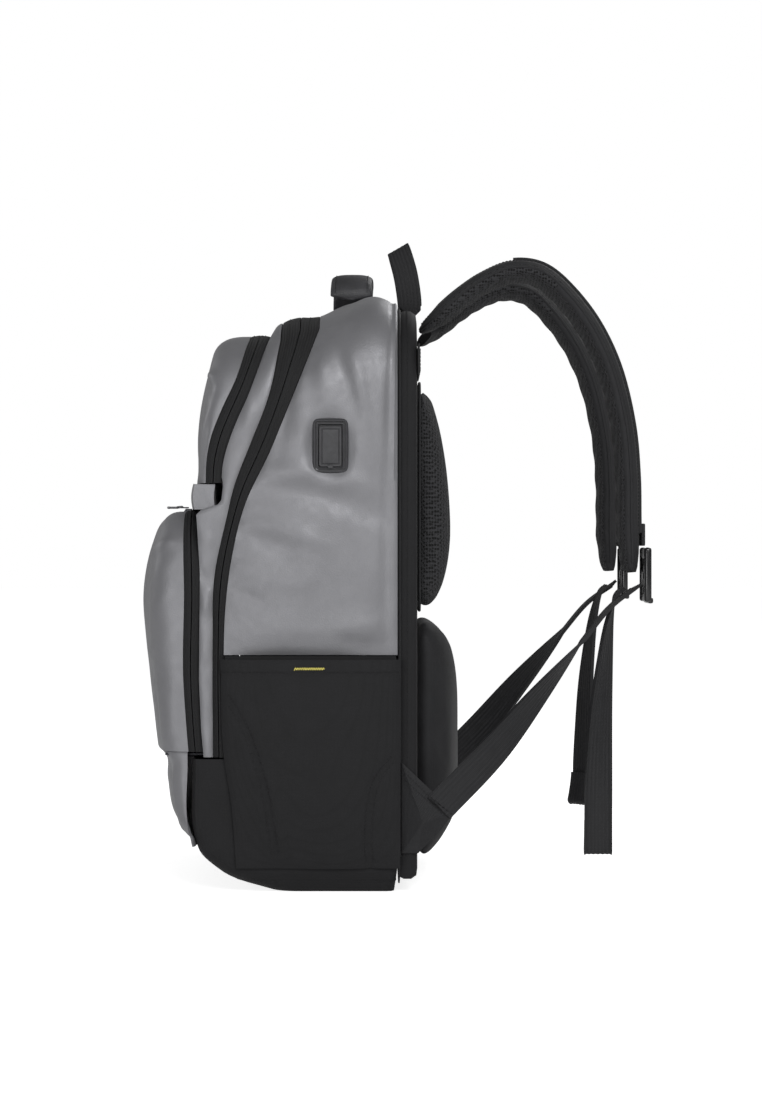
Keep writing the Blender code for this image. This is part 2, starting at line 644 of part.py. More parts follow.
def make_handle():
    """Padded carry handle: two legs and a grip arched over the bag's top."""
    points = [(-0.062, 0.036, HANDLE_AXIS[1]), (-0.060, 0.036, 0.4905),
              (-0.046, 0.0365, 0.5000), (-0.020, 0.037, 0.5025), (0.020, 0.037, 0.5025),
              (0.046, 0.0365, 0.5000), (0.060, 0.036, 0.4905), (0.062, 0.036, HANDLE_AXIS[1])]
    path = smooth_path(points, 16)
    rings = []
    for k, point in enumerate(path):
        before, after = path[max(k - 1, 0)], path[min(k + 1, len(path) - 1)]
        along = (after - before).normalized()
        outward = Vector((0.0, 1.0, 0.0)).cross(along) * -1.0
        middle = 1 - abs(2 * k / (len(path) - 1) - 1)
        half_wide = 0.0165 - 0.0130 * max(0.0, 1 - middle / 0.14)
        half_thick = 0.0018 + 0.0035 * min(1.0, middle * 2.5)
        ring = []
        for j in range(8):
            turn = 2 * math.pi * (j + 0.5) / 8
            ring.append(point + Vector((0.0, half_wide * math.cos(turn) * 1.05, 0.0))
                        + outward * half_thick * math.sin(turn))
        rings.append(ring)
    add_part("carry_handle", loft_bmesh(rings), "handle_leather", (0.0, *HANDLE_AXIS))


def make_hang_loop():
    """Webbing loop that stands at the top of the back panel and leans forwards."""
    points = [(0.0210, *LOOP_AXIS), (0.0200, 0.0850, 0.4900), (0.0160, 0.0820, 0.5100),
              (0.0085, 0.0775, 0.5270), (0.0, 0.0755, 0.5330)]
    points += mirrored(reversed(points[:-1]))
    path = smooth_path(points, 20)
    rings = []
    for k, point in enumerate(path):
        before, after = path[max(k - 1, 0)], path[min(k + 1, len(path) - 1)]
        along = (after - before).normalized()
        wide = Vector((0.0, 0.86, 0.50)) if 5 < k < 15 else Vector((0.0, 0.97, 0.25))
        foot = max(0.0, 1 - min(k, 20 - k) / 2.5)
        wide = (wide - along * wide.dot(along)).normalized() * (0.0100 - 0.0070 * foot)
        thin = along.cross(wide).normalized() * WEBBING_THICKNESS / 2
        rings.append([point - wide - thin, point + wide - thin, point + wide + thin,
                      point - wide + thin])
    loop = loft_bmesh(rings)
    bmesh.ops.triangulate(loop, faces=loop.faces)
    add_part("hang_loop", loop, "webbing", (0.0, *LOOP_AXIS))


def make_strap(side, label):
    """A shoulder strap pad, its end tab, ladder-lock buckle, webbing and hanging tail."""
    pivot = (side * 0.050, *STRAP_AXIS)
    centre = [(0.050, 0.0985, 0.4600), (0.055, 0.1085, 0.4680), (0.059, 0.1269, 0.4838),
              (0.064, 0.1475, 0.4972), (0.069, 0.1698, 0.5050), (0.074, 0.1928, 0.5010),
              (0.079, 0.2140, 0.4820), (0.083, 0.2339, 0.4541), (0.087, 0.2491, 0.4190),
              (0.090, 0.2590, 0.3751), (0.092, 0.2625, 0.3337), (0.094, 0.2630, 0.2925),
              (0.095, 0.2650, 0.2560)]
    path = smooth_path([(side * x, y, z) for x, y, z in centre], 20)
    last = len(path) - 1
    rings = []
    for k, point in enumerate(path):
        before, after = path[max(k - 1, 0)], path[min(k + 1, last)]
        along = (after - before).normalized()
        across = Vector((side, 0.0, 0.0))
        across = (across - along * across.dot(along)).normalized()
        normal = along.cross(across).normalized()
        at = k / last
        half_wide = 0.0290 - 0.008 * max(0.0, (at - 0.75) / 0.25) ** 2
        half_wide -= 0.010 * max(0.0, (0.12 - at) / 0.12)
        half_thick = 0.0085 * min(1.0, 0.40 + 5 * at, 0.72 + 4 * (1 - at))
        ring = []
        for j in range(10):
            turn = 2 * math.pi * (j + 0.5) / 10
            ring.append(point + across * half_wide * math.cos(turn)
                        + normal * half_thick * math.sin(turn))
        rings.append(ring)
    add_part("strap_pad_" + label, loft_bmesh(rings), "strap_fabric", pivot)

    # Ladder-lock buckle outside the strap's end, with two slots between its bars.
    x = side * 0.095
    low = Vector((x - 0.0210, 0.2745, 0.2320))
    high = Vector((x + 0.0210, 0.2815, 0.2765))
    buckle = add_part("buckle_" + label, box_bmesh(low, high), "gloss_plastic",
                      (x, *BUCKLE_AXIS))
    add_bevel(buckle, 0.0020)
    for number, slot_z in enumerate((0.2410, 0.2530, 0.2650)):
        cutter = add_cutter("slot_%s_%d" % (label, number),
                            (x - 0.0140, 0.26, slot_z - 0.0018),
                            (x + 0.0140, 0.30, slot_z + 0.0018))
        cut(buckle, cutter)

    # Short tab that joins the strap's end to the buckle's upper bar.
    tab = box_bmesh((x - 0.0125, 0.2735, 0.2778), (x + 0.0125, 0.2765, 0.2960))
    add_bevel(add_part("strap_tab_" + label, tab, "webbing", pivot), 0.0008, 1)

    # Adjustment webbing down to the wing at the bag's lower corner, turning on edge.
    run = [(0.095, 0.2704, 0.2444), (0.105, 0.2457, 0.2253), (0.113, 0.2205, 0.1945),
           (0.123, 0.1873, 0.1552), (0.133, 0.1512, 0.1122), (0.1432, 0.1122, 0.0728)]
    path = smooth_path([(side * px, py, pz) for px, py, pz in run], 14)
    turns = [side * min(1.0, max(0.0, (k / 14 - 0.30) / 0.45)) for k in range(15)]
    add_part("webbing_" + label,
             ribbon_bmesh(path, [WEBBING_WIDTH] * 15, WEBBING_THICKNESS, turns), "webbing")

    # Free tail of the webbing, which hangs inside the strap and ends in a stitched fold.
    drop = 0.0220 if side > 0 else 0.0480
    length = 0.2430 - drop
    tail = [(0.0755, 0.2620, 0.2430), (0.0755, 0.2555, 0.2360), (0.0755, 0.2500, 0.2150),
            (0.0755, 0.2460, 0.2430 - 0.30 * length), (0.0755, 0.2430, 0.2430 - 0.48 * length),
            (0.0755, 0.2415, 0.2430 - 0.68 * length), (0.0755, 0.2410, 0.2430 - 0.84 * length),
            (0.0755, 0.2410, drop)]
    path = smooth_path([(side * px, py, pz) for px, py, pz in tail], 14)
    reach = 1.0 if side > 0 else 0.45
    turns = [side * reach * min(1.0, max(0.0, (k / 14 - 0.15) / 0.70)) for k in range(15)]
    widths = [WEBBING_WIDTH * 0.92] * 15
    add_part("tail_" + label, ribbon_bmesh(path, widths, 0.0020, turns), "webbing",
             (side * 0.0755, *TAIL_AXIS))


def make_wing(side, label):
    """Triangular webbing patch that carries the lower end of a strap's webbing."""
    corners = ((0.0770, 0.1050), (0.1200, 0.0640), (0.1070, 0.0480), (0.0905, 0.0310),
               (0.0770, 0.0310))
    near, far = side * (HALF_WIDTH - 0.0056), side * (HALF_WIDTH - 0.0040)
    rings = [[(x, y, z) for y, z in corners] for x in (near, far)]
    add_part("strap_wing_" + label, loft_bmesh(rings), "webbing", smooth=False)


make_body_shell()
make_organizer()
make_pockets()
make_base()
make_back()
make_interior()
make_usb()
make_sliders()
make_handle()
make_hang_loop()
for side_sign, side_name in ((-1, "left"), (1, "right")):
    make_sides(side_sign, side_name)
    make_wing(side_sign, side_name)
    make_strap(side_sign, side_name)
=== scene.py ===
"""Looks of the charging backpack: fabric, padding, webbing and hardware around the CAD frame.

Metres, +Z up. The front faces -Y, the back panel and the straps are at +Y, the wearer's
right is +X. Seam tables and soft routes repeat the ones of the CAD source.
"""

import json
import math

import bmesh
import bpy
import numpy as np
from mathutils import Matrix, Vector

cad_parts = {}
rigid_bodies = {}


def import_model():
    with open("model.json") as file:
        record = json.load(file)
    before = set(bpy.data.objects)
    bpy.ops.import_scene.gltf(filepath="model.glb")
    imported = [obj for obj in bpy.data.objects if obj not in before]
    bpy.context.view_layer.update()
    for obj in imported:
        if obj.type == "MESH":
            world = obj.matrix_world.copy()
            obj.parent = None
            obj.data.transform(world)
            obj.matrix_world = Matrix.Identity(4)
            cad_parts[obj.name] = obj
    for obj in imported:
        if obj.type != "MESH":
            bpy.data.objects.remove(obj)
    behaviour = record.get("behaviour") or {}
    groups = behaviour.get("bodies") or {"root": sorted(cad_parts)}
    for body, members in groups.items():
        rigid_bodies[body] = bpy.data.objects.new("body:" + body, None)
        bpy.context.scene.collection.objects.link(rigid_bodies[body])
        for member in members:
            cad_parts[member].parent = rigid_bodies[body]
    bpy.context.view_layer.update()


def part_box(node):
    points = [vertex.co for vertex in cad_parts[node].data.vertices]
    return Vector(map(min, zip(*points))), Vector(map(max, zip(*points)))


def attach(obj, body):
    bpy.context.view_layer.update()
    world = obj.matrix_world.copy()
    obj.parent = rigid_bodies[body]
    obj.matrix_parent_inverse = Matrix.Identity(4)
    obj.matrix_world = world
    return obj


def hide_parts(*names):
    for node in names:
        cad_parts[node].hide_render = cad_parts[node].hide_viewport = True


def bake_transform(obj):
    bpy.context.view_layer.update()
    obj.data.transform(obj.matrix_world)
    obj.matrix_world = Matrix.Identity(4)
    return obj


for leftover in list(bpy.data.objects):
    bpy.data.objects.remove(leftover, do_unlink=True)

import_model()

# ---- driving dimensions, as in the CAD source --------------------------------------------
HALF_WIDTH = 0.148
BAG_TOP = 0.4820
ARCH_RADIUS = 0.070
FABRIC = 0.0022
TAPE = 0.0016
GAP = 0.0004
SEAM = 0.0010
HEM_Z = 0.1080
GREY_BASE_Z = 0.1900
LIFT_Z = 0.2000
BACK_Y = 0.0740
POCKET_SPLIT_Z = 0.3270
LOWER_POCKET_TOP = 0.3060
WEBBING_WIDTH = 0.0250
WEBBING_THICKNESS = 0.0016
STEP = 0.0040                   # grid spacing of the fine fabric
USB_CENTRE = (0.0204, 0.3576)   # (y, z) of the port on the right side
BAG_MIDDLE = (0.0, 0.0, 0.25)   # a point inside the bag, which outward faces look away from

# Depth y of each seam at height z.
MAIN_ZIP_FRONT = [(0.108, -0.0725), (0.200, -0.0728), (0.263, -0.0712), (0.314, -0.0616),
                  (0.340, -0.0560), (0.379, -0.0424), (0.421, -0.0270), (0.462, -0.0195)]
MAIN_ZIP_REAR = [(0.108, -0.0648), (0.186, -0.0660), (0.233, -0.0645), (0.274, -0.0600),
                 (0.329, -0.0472), (0.375, -0.0256), (0.407, -0.0120), (0.433, -0.0020),
                 (0.467, 0.0100)]
UPPER_ZIP_FRONT = [(0.327, -0.0792), (0.346, -0.0785), (0.364, -0.0752), (0.385, -0.0672),
                   (0.411, -0.0555), (0.446, -0.0460)]
UPPER_ZIP_REAR = [(0.327, -0.0680), (0.344, -0.0665), (0.362, -0.0616), (0.379, -0.0550),
                  (0.398, -0.0465), (0.418, -0.0395), (0.450, -0.0300)]
LOWER_ZIP_FRONT = [(0.108, -0.0925), (0.139, -0.0950), (0.171, -0.0970), (0.247, -0.0965),
                   (0.306, -0.0985)]
LOWER_ZIP_REAR = [(0.108, -0.0820), (0.130, -0.0840), (0.171, -0.0858), (0.263, -0.0850),
                  (0.306, -0.0880)]
TOP_LINE = [(-0.0945, 0.4440), (-0.0560, 0.4500), (-0.0300, 0.4560), (-0.0195, 0.4621),
            (0.0100, 0.4673), (0.0350, 0.4759), (0.0574, BAG_TOP), (0.0740, 0.4765)]
UPPER_FACE = [(0.327, -0.0950), (0.369, -0.0925), (0.393, -0.0895), (0.450, -0.0790)]
LOWER_FACE = [(0.108, -0.1275), (0.163, -0.1345), (0.203, -0.1370), (0.240, -0.1380),
              (0.269, -0.1345), (0.306, -0.1245)]
BASE_FACE = [(0.0365, -0.0945), (0.040, -0.1030), (0.054, -0.1130), (0.085, -0.1200),
             (0.107, -0.1225)]
TUB_FACE = [(0.000, -0.0300), (0.0087, -0.0558), (0.0193, -0.0720), (0.0300, -0.0835),
            (0.0450, -0.0885), (0.107, -0.0905)]
POCKET_FRONT = [(0.014, -0.0544), (0.074, -0.0592), (0.110, -0.0648), (0.190, -0.0672)]


def value_at(table, key):
    """Smooth value of a (key, value) table: cubic pieces with the table's own slopes."""
    keys, values = np.array(table, float).T
    key = np.clip(np.asarray(key, float), keys[0], keys[-1])
    if len(keys) == 2:
        return np.interp(key, keys, values)
    slopes = np.gradient(values, keys)
    k = np.clip(np.searchsorted(keys, key) - 1, 0, len(keys) - 2)
    span = keys[k + 1] - keys[k]
    t = (key - keys[k]) / span
    return ((1 + 2 * t) * (1 - t) ** 2 * values[k] + t * (1 - t) ** 2 * span * slopes[k]
            + t * t * (3 - 2 * t) * values[k + 1] + t * t * (t - 1) * span * slopes[k + 1])


def shifted(table, amount):
    """The same seam, moved along Y."""
    return [(key, value + amount) for key, value in table]


def between(first, second, share):
    """The seam that runs between two seams."""
    keys = sorted({row[0] for row in first} | {row[0] for row in second})
    return [(z, float(value_at(first, z) * (1 - share) + value_at(second, z) * share))
            for z in keys]


# ---- materials ----------------------------------------------------------------------------
def add_node(tree, kind, **settings):
    """A shader node with its settings."""
    node = tree.nodes.new(kind)
    for key, value in settings.items():
        setattr(node, key, value)
    return node


def new_material(name, colour, roughness, metallic=0.0, **sockets):
    """A Principled material with its constant values on the shader's own sockets."""
    material = bpy.data.materials.new(name)
    material.use_nodes = True
    shader = material.node_tree.nodes["Principled BSDF"]
    shader.inputs["Base Color"].default_value = (*colour, 1.0)
    shader.inputs["Roughness"].default_value = roughness
    shader.inputs["Metallic"].default_value = metallic
    for socket, value in sockets.items():
        shader.inputs[socket.replace("_", " ")].default_value = value
    return material, material.node_tree, shader


def coordinates(tree, space, turn=(0.0, 0.0, 0.0)):
    """Texture coordinates, turned about the axes."""
    source = add_node(tree, "ShaderNodeTexCoord")
    mapping = add_node(tree, "ShaderNodeMapping")
    mapping.inputs["Rotation"].default_value = turn
    tree.links.new(source.outputs[space], mapping.inputs["Vector"])
    return mapping.outputs["Vector"]


def noise(tree, vector, scale, detail=2.0, roughness=0.5):
    """Soft random pattern."""
    node = add_node(tree, "ShaderNodeTexNoise")
    node.inputs["Scale"].default_value = scale
    node.inputs["Detail"].default_value = detail
    node.inputs["Roughness"].default_value = roughness
    tree.links.new(vector, node.inputs["Vector"])
    return node.outputs["Fac"]


def cells(tree, vector, scale, randomness=1.0, feature="F1", distance="EUCLIDEAN"):
    """Cell pattern: regular at low randomness."""
    node = add_node(tree, "ShaderNodeTexVoronoi", feature=feature)
    if feature != "DISTANCE_TO_EDGE":
        node.distance = distance
    node.inputs["Scale"].default_value = scale
    node.inputs["Randomness"].default_value = randomness
    tree.links.new(vector, node.inputs["Vector"])
    return node.outputs["Distance"]


def waves(tree, vector, scale, direction, distortion):
    """Parallel bands."""
    node = add_node(tree, "ShaderNodeTexWave", bands_direction=direction)
    node.inputs["Scale"].default_value = scale
    node.inputs["Distortion"].default_value = distortion
    tree.links.new(vector, node.inputs["Vector"])
    return node.outputs["Fac"]


def ramp(tree, value, low, high, start=0.0, end=1.0):
    """A value spread between two colours or two grey levels."""
    node = add_node(tree, "ShaderNodeValToRGB")
    first, last = node.color_ramp.elements
    first.position, last.position = start, end
    first.color = (*low, 1.0) if hasattr(low, "__len__") else (low, low, low, 1.0)
    last.color = (*high, 1.0) if hasattr(high, "__len__") else (high, high, high, 1.0)
    tree.links.new(value, node.inputs["Fac"])
    return node.outputs["Color"]


def product(tree, first, second):
    """Two values multiplied."""
    node = add_node(tree, "ShaderNodeMath", operation="MULTIPLY")
    tree.links.new(first, node.inputs[0])
    tree.links.new(second, node.inputs[1])
    return node.outputs["Value"]


def bump(tree, shader, height, strength, distance, under=None):
    """Fine relief on a shader, over another relief if one is given."""
    node = add_node(tree, "ShaderNodeBump")
    node.inputs["Strength"].default_value = strength
    node.inputs["Distance"].default_value = distance
    tree.links.new(height, node.inputs["Height"])
    if under is not None:
        tree.links.new(under, node.inputs["Normal"])
    tree.links.new(node.outputs["Normal"], shader.inputs["Normal"])
    return node.outputs["Normal"]


def tint(colour, factor):
    """A colour made darker or lighter."""
    return tuple(c * factor for c in colour)


def vary(tree, shader, socket, value, low, high, start=0.0, end=1.0):
    """Drive a shader's socket between two colours or grey levels."""
    tree.links.new(ramp(tree, value, low, high, start, end), shader.inputs[socket])


def coated_grey():
    """Silvery coated fabric: fine pebble grain, broad tone shifts, satin reflections."""
    grey = (0.270, 0.270, 0.285)
    material, tree, shader = new_material("coated_grey", grey, 0.50, 0.50,
                                          Specular_IOR_Level=0.45, Sheen_Weight=0.08)
    place = coordinates(tree, "Object")
    tone = noise(tree, place, 26.0, 4.0, 0.6)
    vary(tree, shader, "Base Color", tone, tint(grey, 0.95), tint(grey, 1.05), 0.35, 0.65)
    rub = noise(tree, place, 160.0, 3.0)
    vary(tree, shader, "Roughness", rub, 0.46, 0.54, 0.35, 0.65)
    grain = cells(tree, place, 950.0)
    first = bump(tree, shader, grain, 0.30, 0.0003)
    bump(tree, shader, noise(tree, place, 60.0, 3.0, 0.55), 0.10, 0.0020, first)
    return material


def woven(name, colour, roughness, scale, strength, sheen=0.03):
    """Matte woven cloth: a square weave with uneven threads."""
    material, tree, shader = new_material(name, colour, roughness, Sheen_Weight=sheen,
                                          Sheen_Roughness=0.5, Specular_IOR_Level=0.35)
    place = coordinates(tree, "Object")
    weave = cells(tree, place, scale, 0.12, distance="CHEBYCHEV")
    mottled = noise(tree, place, 45.0, 5.0, 0.65)
    shade = product(tree, ramp(tree, weave, 1.0, 0.72, 0.15, 0.60),
                    ramp(tree, mottled, 0.80, 1.0, 0.35, 0.65))
    vary(tree, shader, "Base Color", shade, tint(colour, 0.55), tint(colour, 1.35), 0.50, 1.0)
    vary(tree, shader, "Roughness", mottled, roughness - 0.10, min(1.0, roughness + 0.08))
    first = bump(tree, shader, weave, strength, 0.0006)
    bump(tree, shader, noise(tree, place, 70.0, 3.0), 0.15, 0.0015, first)
    return material


def ribbed(name, colour, roughness, pitch, across_pitch):
    """Narrow woven band, mapped in metres: u across the band, v along it."""
    material, tree, shader = new_material(name, colour, roughness, Sheen_Weight=0.04,
                                          Sheen_Roughness=0.4, Specular_IOR_Level=0.40)
    place = coordinates(tree, "UV")
    ribs = waves(tree, place, 0.314 / pitch, "Y", 0.6)
    cords = waves(tree, place, 0.314 / across_pitch, "X", 0.3)
    pattern = product(tree, ribs, cords)
    worn = noise(tree, place, 90.0, 4.0)
    shade = product(tree, ramp(tree, pattern, 0.55, 1.0), ramp(tree, worn, 0.80, 1.0, 0.3, 0.7))
    vary(tree, shader, "Base Color", shade, tint(colour, 0.45), tint(colour, 1.50), 0.30, 1.0)
    vary(tree, shader, "Roughness", worn, roughness - 0.08, roughness + 0.08)
    bump(tree, shader, pattern, 0.55, 0.0005)
    return material


def air_mesh():
    """Open spacer mesh: rows of small holes between raised threads, the holes darkened with
    painted shade.
    """
    light = (0.042, 0.042, 0.045)
    material, tree, shader = new_material("air_mesh", light, 0.80, Sheen_Weight=0.05,
                                          Sheen_Roughness=0.5, Specular_IOR_Level=0.30)
    place = coordinates(tree, "Object", turn=(0.0, 0.6, 0.0))
    shaded_hole = cells(tree, place, 430.0, 0.25)
    # Painted shade: the hole centres are coloured near black to stand for the shade inside the
    # open holes; the same pattern also gives the holes their relief.
    vary(tree, shader, "Base Color", shaded_hole, (0.006, 0.006, 0.006), light, 0.28, 0.52)
    worn = noise(tree, place, 50.0, 4.0)
    vary(tree, shader, "Roughness", worn, 0.70, 0.92)
    bump(tree, shader, ramp(tree, shaded_hole, 0.0, 1.0, 0.20, 0.55), 0.85, 0.0012)
    return material


def leather(name, colour, roughness):
    """Smooth leather with a fine grain of creases."""
    material, tree, shader = new_material(name, colour, roughness, Specular_IOR_Level=0.45)
    place = coordinates(tree, "Object")
    grain = cells(tree, place, 520.0, feature="DISTANCE_TO_EDGE")
    worn = noise(tree, place, 60.0, 5.0, 0.6)
    vary(tree, shader, "Base Color", worn, tint(colour, 0.75), tint(colour, 1.25), 0.35, 0.65)
    vary(tree, shader, "Roughness", worn, roughness - 0.08, roughness + 0.10)
    bump(tree, shader, ramp(tree, grain, 0.0, 1.0, 0.0, 0.25), 0.35, 0.0004)
    return material


def moulded(name, colour, roughness, scale, strength, metallic=0.0, **sockets):
    """Moulded plastic, rubber or plated metal with faint surface grain and handling marks."""
    material, tree, shader = new_material(name, colour, roughness, metallic, **sockets)
    place = coordinates(tree, "Object")
    grain = noise(tree, place, scale, 3.0)
    marks = noise(tree, place, 180.0, 5.0, 0.7)
    vary(tree, shader, "Base Color", marks, tint(colour, 0.82), tint(colour, 1.18), 0.35, 0.65)
    vary(tree, shader, "Roughness", marks, max(0.05, roughness - 0.06), roughness + 0.10)
    bump(tree, shader, grain, strength, 0.0002)
    return material


MATERIALS = {
    "coated_grey": coated_grey(),
    "black_nylon": woven("black_nylon", (0.014, 0.014, 0.0153), 0.78, 900.0, 0.45),
    "lining": woven("lining", (0.085, 0.085, 0.095), 0.85, 700.0, 0.35),
    "strap_fabric": woven("strap_fabric", (0.022, 0.022, 0.024), 0.72, 1100.0, 0.30, 0.06),
    "zip_tape": ribbed("zip_tape", (0.017, 0.017, 0.018), 0.80, 0.0011, 0.0022),
    "webbing": ribbed("webbing", (0.022, 0.022, 0.024), 0.66, 0.0012, 0.0030),
    "air_mesh": air_mesh(),
    "handle_leather": leather("handle_leather", (0.052, 0.052, 0.056), 0.46),
    "port_rubber": moulded("port_rubber", (0.048, 0.048, 0.052), 0.48, 2200.0, 0.20),
    "buckle_plastic": moulded("buckle_plastic", (0.013, 0.013, 0.014), 0.20, 900.0, 0.05,
                              Coat_Weight=0.4, Coat_Roughness=0.12),
    "zip_metal": moulded("zip_metal", (0.16, 0.16, 0.17), 0.28, 1500.0, 0.08, 1.0),
    "yellow_thread": moulded("yellow_thread", (0.80, 0.70, 0.16), 0.60, 3000.0, 0.30),
    "bright_metal": moulded("bright_metal", (0.70, 0.70, 0.72), 0.25, 1500.0, 0.06, 1.0),
}


# ---- building fine meshes -----------------------------------------------------------------
def finish_piece(name, mesh, slot, body, replaces=(), smooth_angle=40):
    """Link a mesh in world coordinates as a piece with its material, body and CAD nodes."""
    mesh.validate()
    mesh.shade_smooth()
    mesh.set_sharp_from_angle(angle=math.radians(smooth_angle))
    piece = bpy.data.objects.new(name, mesh)
    bpy.context.scene.collection.objects.link(piece)
    if not mesh.materials:
        mesh.materials.append(MATERIALS[slot])
    if body:
        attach(piece, body)
    if replaces:
        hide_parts(*replaces)
    return piece


def grid_normals(grid):
    """Unit normals of a grid of points, shape (rows, columns, 3)."""
    normal = np.cross(np.gradient(grid, axis=0), np.gradient(grid, axis=1))
    length = np.linalg.norm(normal, axis=2, keepdims=True)
    return normal / np.maximum(length, 1e-12)


def facing(grid, inside):
    """The grid, flipped if needed so that its normals point away from a point inside."""
    outward = (grid_normals(grid) * (grid - np.array(inside))).sum()
    return grid if outward > 0 else grid[:, ::-1]


def grid_lengths(grid):
    """Distance along the rows and along the columns of a grid, for the mapping in metres."""
    across = np.linalg.norm(np.diff(grid, axis=1), axis=2).cumsum(axis=1)
    along = np.linalg.norm(np.diff(grid, axis=0), axis=2).cumsum(axis=0)
    across = np.concatenate([np.zeros((len(grid), 1)), across], axis=1)
    along = np.concatenate([np.zeros((1, grid.shape[1])), along], axis=0)
    return across, along


def skin_mesh(name, grid, thickness):
    """A closed sheet: the grid's face, a face thickness behind it, and the edge between."""
    rows, columns = grid.shape[:2]
    inner = grid - grid_normals(grid) * thickness
    count = rows * columns
    points = np.concatenate([grid.reshape(-1, 3), inner.reshape(-1, 3)])
    index = np.arange(count).reshape(rows, columns)
    quads = np.stack([index[:-1, :-1], index[1:, :-1], index[1:, 1:], index[:-1, 1:]],
                     axis=2).reshape(-1, 4)
    loop = np.concatenate([index[0, :], index[1:, -1], index[-1, -2::-1], index[-2:0:-1, 0]])
    following = np.roll(loop, -1)
    rim = np.stack([loop, following, following + count, loop + count], axis=1)
    faces = np.concatenate([quads, quads[:, ::-1] + count, rim])
    mesh = bpy.data.meshes.new(name)
    mesh.from_pydata(points.tolist(), [], faces.tolist())
    across, along = grid_lengths(grid)
    flat = np.stack([across.reshape(-1), along.reshape(-1)], axis=1)
    write_uv(mesh, np.concatenate([flat, flat]))
    return mesh


def write_uv(mesh, per_vertex):
    """Map a mesh in metres, from one (u, v) for each vertex."""
    layer = mesh.uv_layers.get("metres") or mesh.uv_layers.new(name="metres")
    corners = np.zeros(len(mesh.loops), np.int32)
    mesh.loops.foreach_get("vertex_index", corners)
    layer.data.foreach_set("uv", per_vertex[corners].astype(np.float32).ravel())


def cloth_sheet(name, grid, thickness, slot, body, replaces=(), inside=BAG_MIDDLE):
    """A closed sheet of fabric as a piece, its face away from a point inside."""
    return finish_piece(name, skin_mesh(name, facing(grid, inside), thickness), slot, body,
                        replaces)


def closed_mesh(name, points, faces):
    """A mesh of closed bodies with its faces turned outwards."""
    mesh = bpy.data.meshes.new(name)
    mesh.from_pydata(points, [], faces)
    build = bmesh.new()
    build.from_mesh(mesh)
    bmesh.ops.recalc_face_normals(build, faces=build.faces)
    build.to_mesh(mesh)
    build.free()
    return mesh


def tube_mesh(name, rings):
    """A closed skin over rings of points, shape (rings, points, 3), with capped ends."""
    count, around = rings.shape[:2]
    index = np.arange(count * around).reshape(count, around)
    after = np.roll(index, -1, axis=1)
    quads = np.stack([index[:-1], after[:-1], after[1:], index[1:]], axis=2).reshape(-1, 4)
    faces = quads.tolist() + [index[0, ::-1].tolist(), index[-1].tolist()]
    mesh = closed_mesh(name, rings.reshape(-1, 3).tolist(), faces)
    turn = np.linalg.norm(rings - np.roll(rings, 1, axis=1), axis=2).cumsum(axis=1)
    along = np.linalg.norm(np.diff(rings.mean(axis=1), axis=0), axis=1).cumsum()
    along = np.concatenate([[0.0], along])[:, None] * np.ones((1, around))
    write_uv(mesh, np.stack([turn.reshape(-1), along.reshape(-1)], axis=1))
    return mesh


def tube_piece(name, rings, slot, body, replaces=(), smooth_angle=40):
    """A skin over rings of points as a piece."""
    return finish_piece(name, tube_mesh(name, np.array(rings)), slot, body, replaces,
                        smooth_angle)


def at_depth(flat, y):
    """Points (x, z) placed at a depth y."""
    return np.column_stack([flat[:, 0], np.broadcast_to(y, len(flat)), flat[:, 1]])


def smooth_path(points, steps):
    """Points along a Catmull-Rom curve through the given ones, as an array."""
    knots = np.array([list(p) for p in points], float)
    knots = np.concatenate([[2 * knots[0] - knots[1]], knots, [2 * knots[-1] - knots[-2]]])
    at = np.minimum(np.linspace(0, len(knots) - 3, steps + 1), len(knots) - 3 - 1e-9)
    k = at.astype(int)
    t = (at - k)[:, None]
    a, b, c, d = knots[k], knots[k + 1], knots[k + 2], knots[k + 3]
    return 0.5 * (2 * b + (c - a) * t + (2 * a - 5 * b + 4 * c - d) * t ** 2
                  + (3 * b - a - 3 * c + d) * t ** 3)


def unit(vectors):
    """Vectors scaled to length one."""
    return vectors / np.maximum(np.linalg.norm(vectors, axis=-1, keepdims=True), 1e-12)


def path_axes(path, hint):
    """Along, across and face directions at each point of a path."""
    along = unit(np.gradient(path, axis=0))
    hint = np.broadcast_to(np.array(hint, float), path.shape)
    across = unit(hint - along * (along * hint).sum(axis=1, keepdims=True))
    return along, across, np.cross(along, across)


def mirror_x(points, side):
    """A route on the right side, or its mirror image on the left."""
    return [(side * x, y, z) for x, y, z in points]


# ---- folds and puckers --------------------------------------------------------------------
def fold_height(points, folds):
    """Height of soft ridges along curves: each is (start, middle, end, width, height)."""
    total = np.zeros(points.shape[:-1])
    for start, middle, end, width, height in folds:
        share = np.linspace(0.0, 1.0, 15)[:, None]
        curve = ((1 - share) ** 2 * np.array(start) + 2 * share * (1 - share) * np.array(middle)
                 + share ** 2 * np.array(end))
        best = np.full(points.shape[:-1], 1e9)
        where = np.zeros(points.shape[:-1])
        for k, (a, b) in enumerate(zip(curve, curve[1:])):
            step = b - a
            t = np.clip(((points - a) @ step) / (step @ step), 0.0, 1.0)
            gap = np.linalg.norm(points - (a + t[..., None] * step), axis=-1)
            closer = gap < best
            best = np.where(closer, gap, best)
            where = np.where(closer, (k + t) / (len(curve) - 1), where)
        taper = np.sin(math.pi * np.clip(where * 0.96 + 0.02, 0.0, 1.0)) ** 0.6
        total += height * taper * np.exp(-(best / width) ** 2)
    return total


def ripple(points, scale, seed):
    """Broad smooth unevenness between -1 and 1, from a few crossing waves."""
    rng = np.random.default_rng(seed)
    total = np.zeros(points.shape[:-1])
    for _ in range(7):
        direction = rng.normal(size=3)
        direction *= (0.6 + rng.random()) / np.linalg.norm(direction) / scale
        total += np.sin(points @ direction * 2 * math.pi + rng.random() * 2 * math.pi)
    return total / 4.0


def raised(grid, height, inside=BAG_MIDDLE):
    """Move a grid's points along its outward normals."""
    sign = 1.0 if (grid_normals(grid) * (grid - np.array(inside))).sum() > 0 else -1.0
    return grid + sign * grid_normals(grid) * height[..., None]


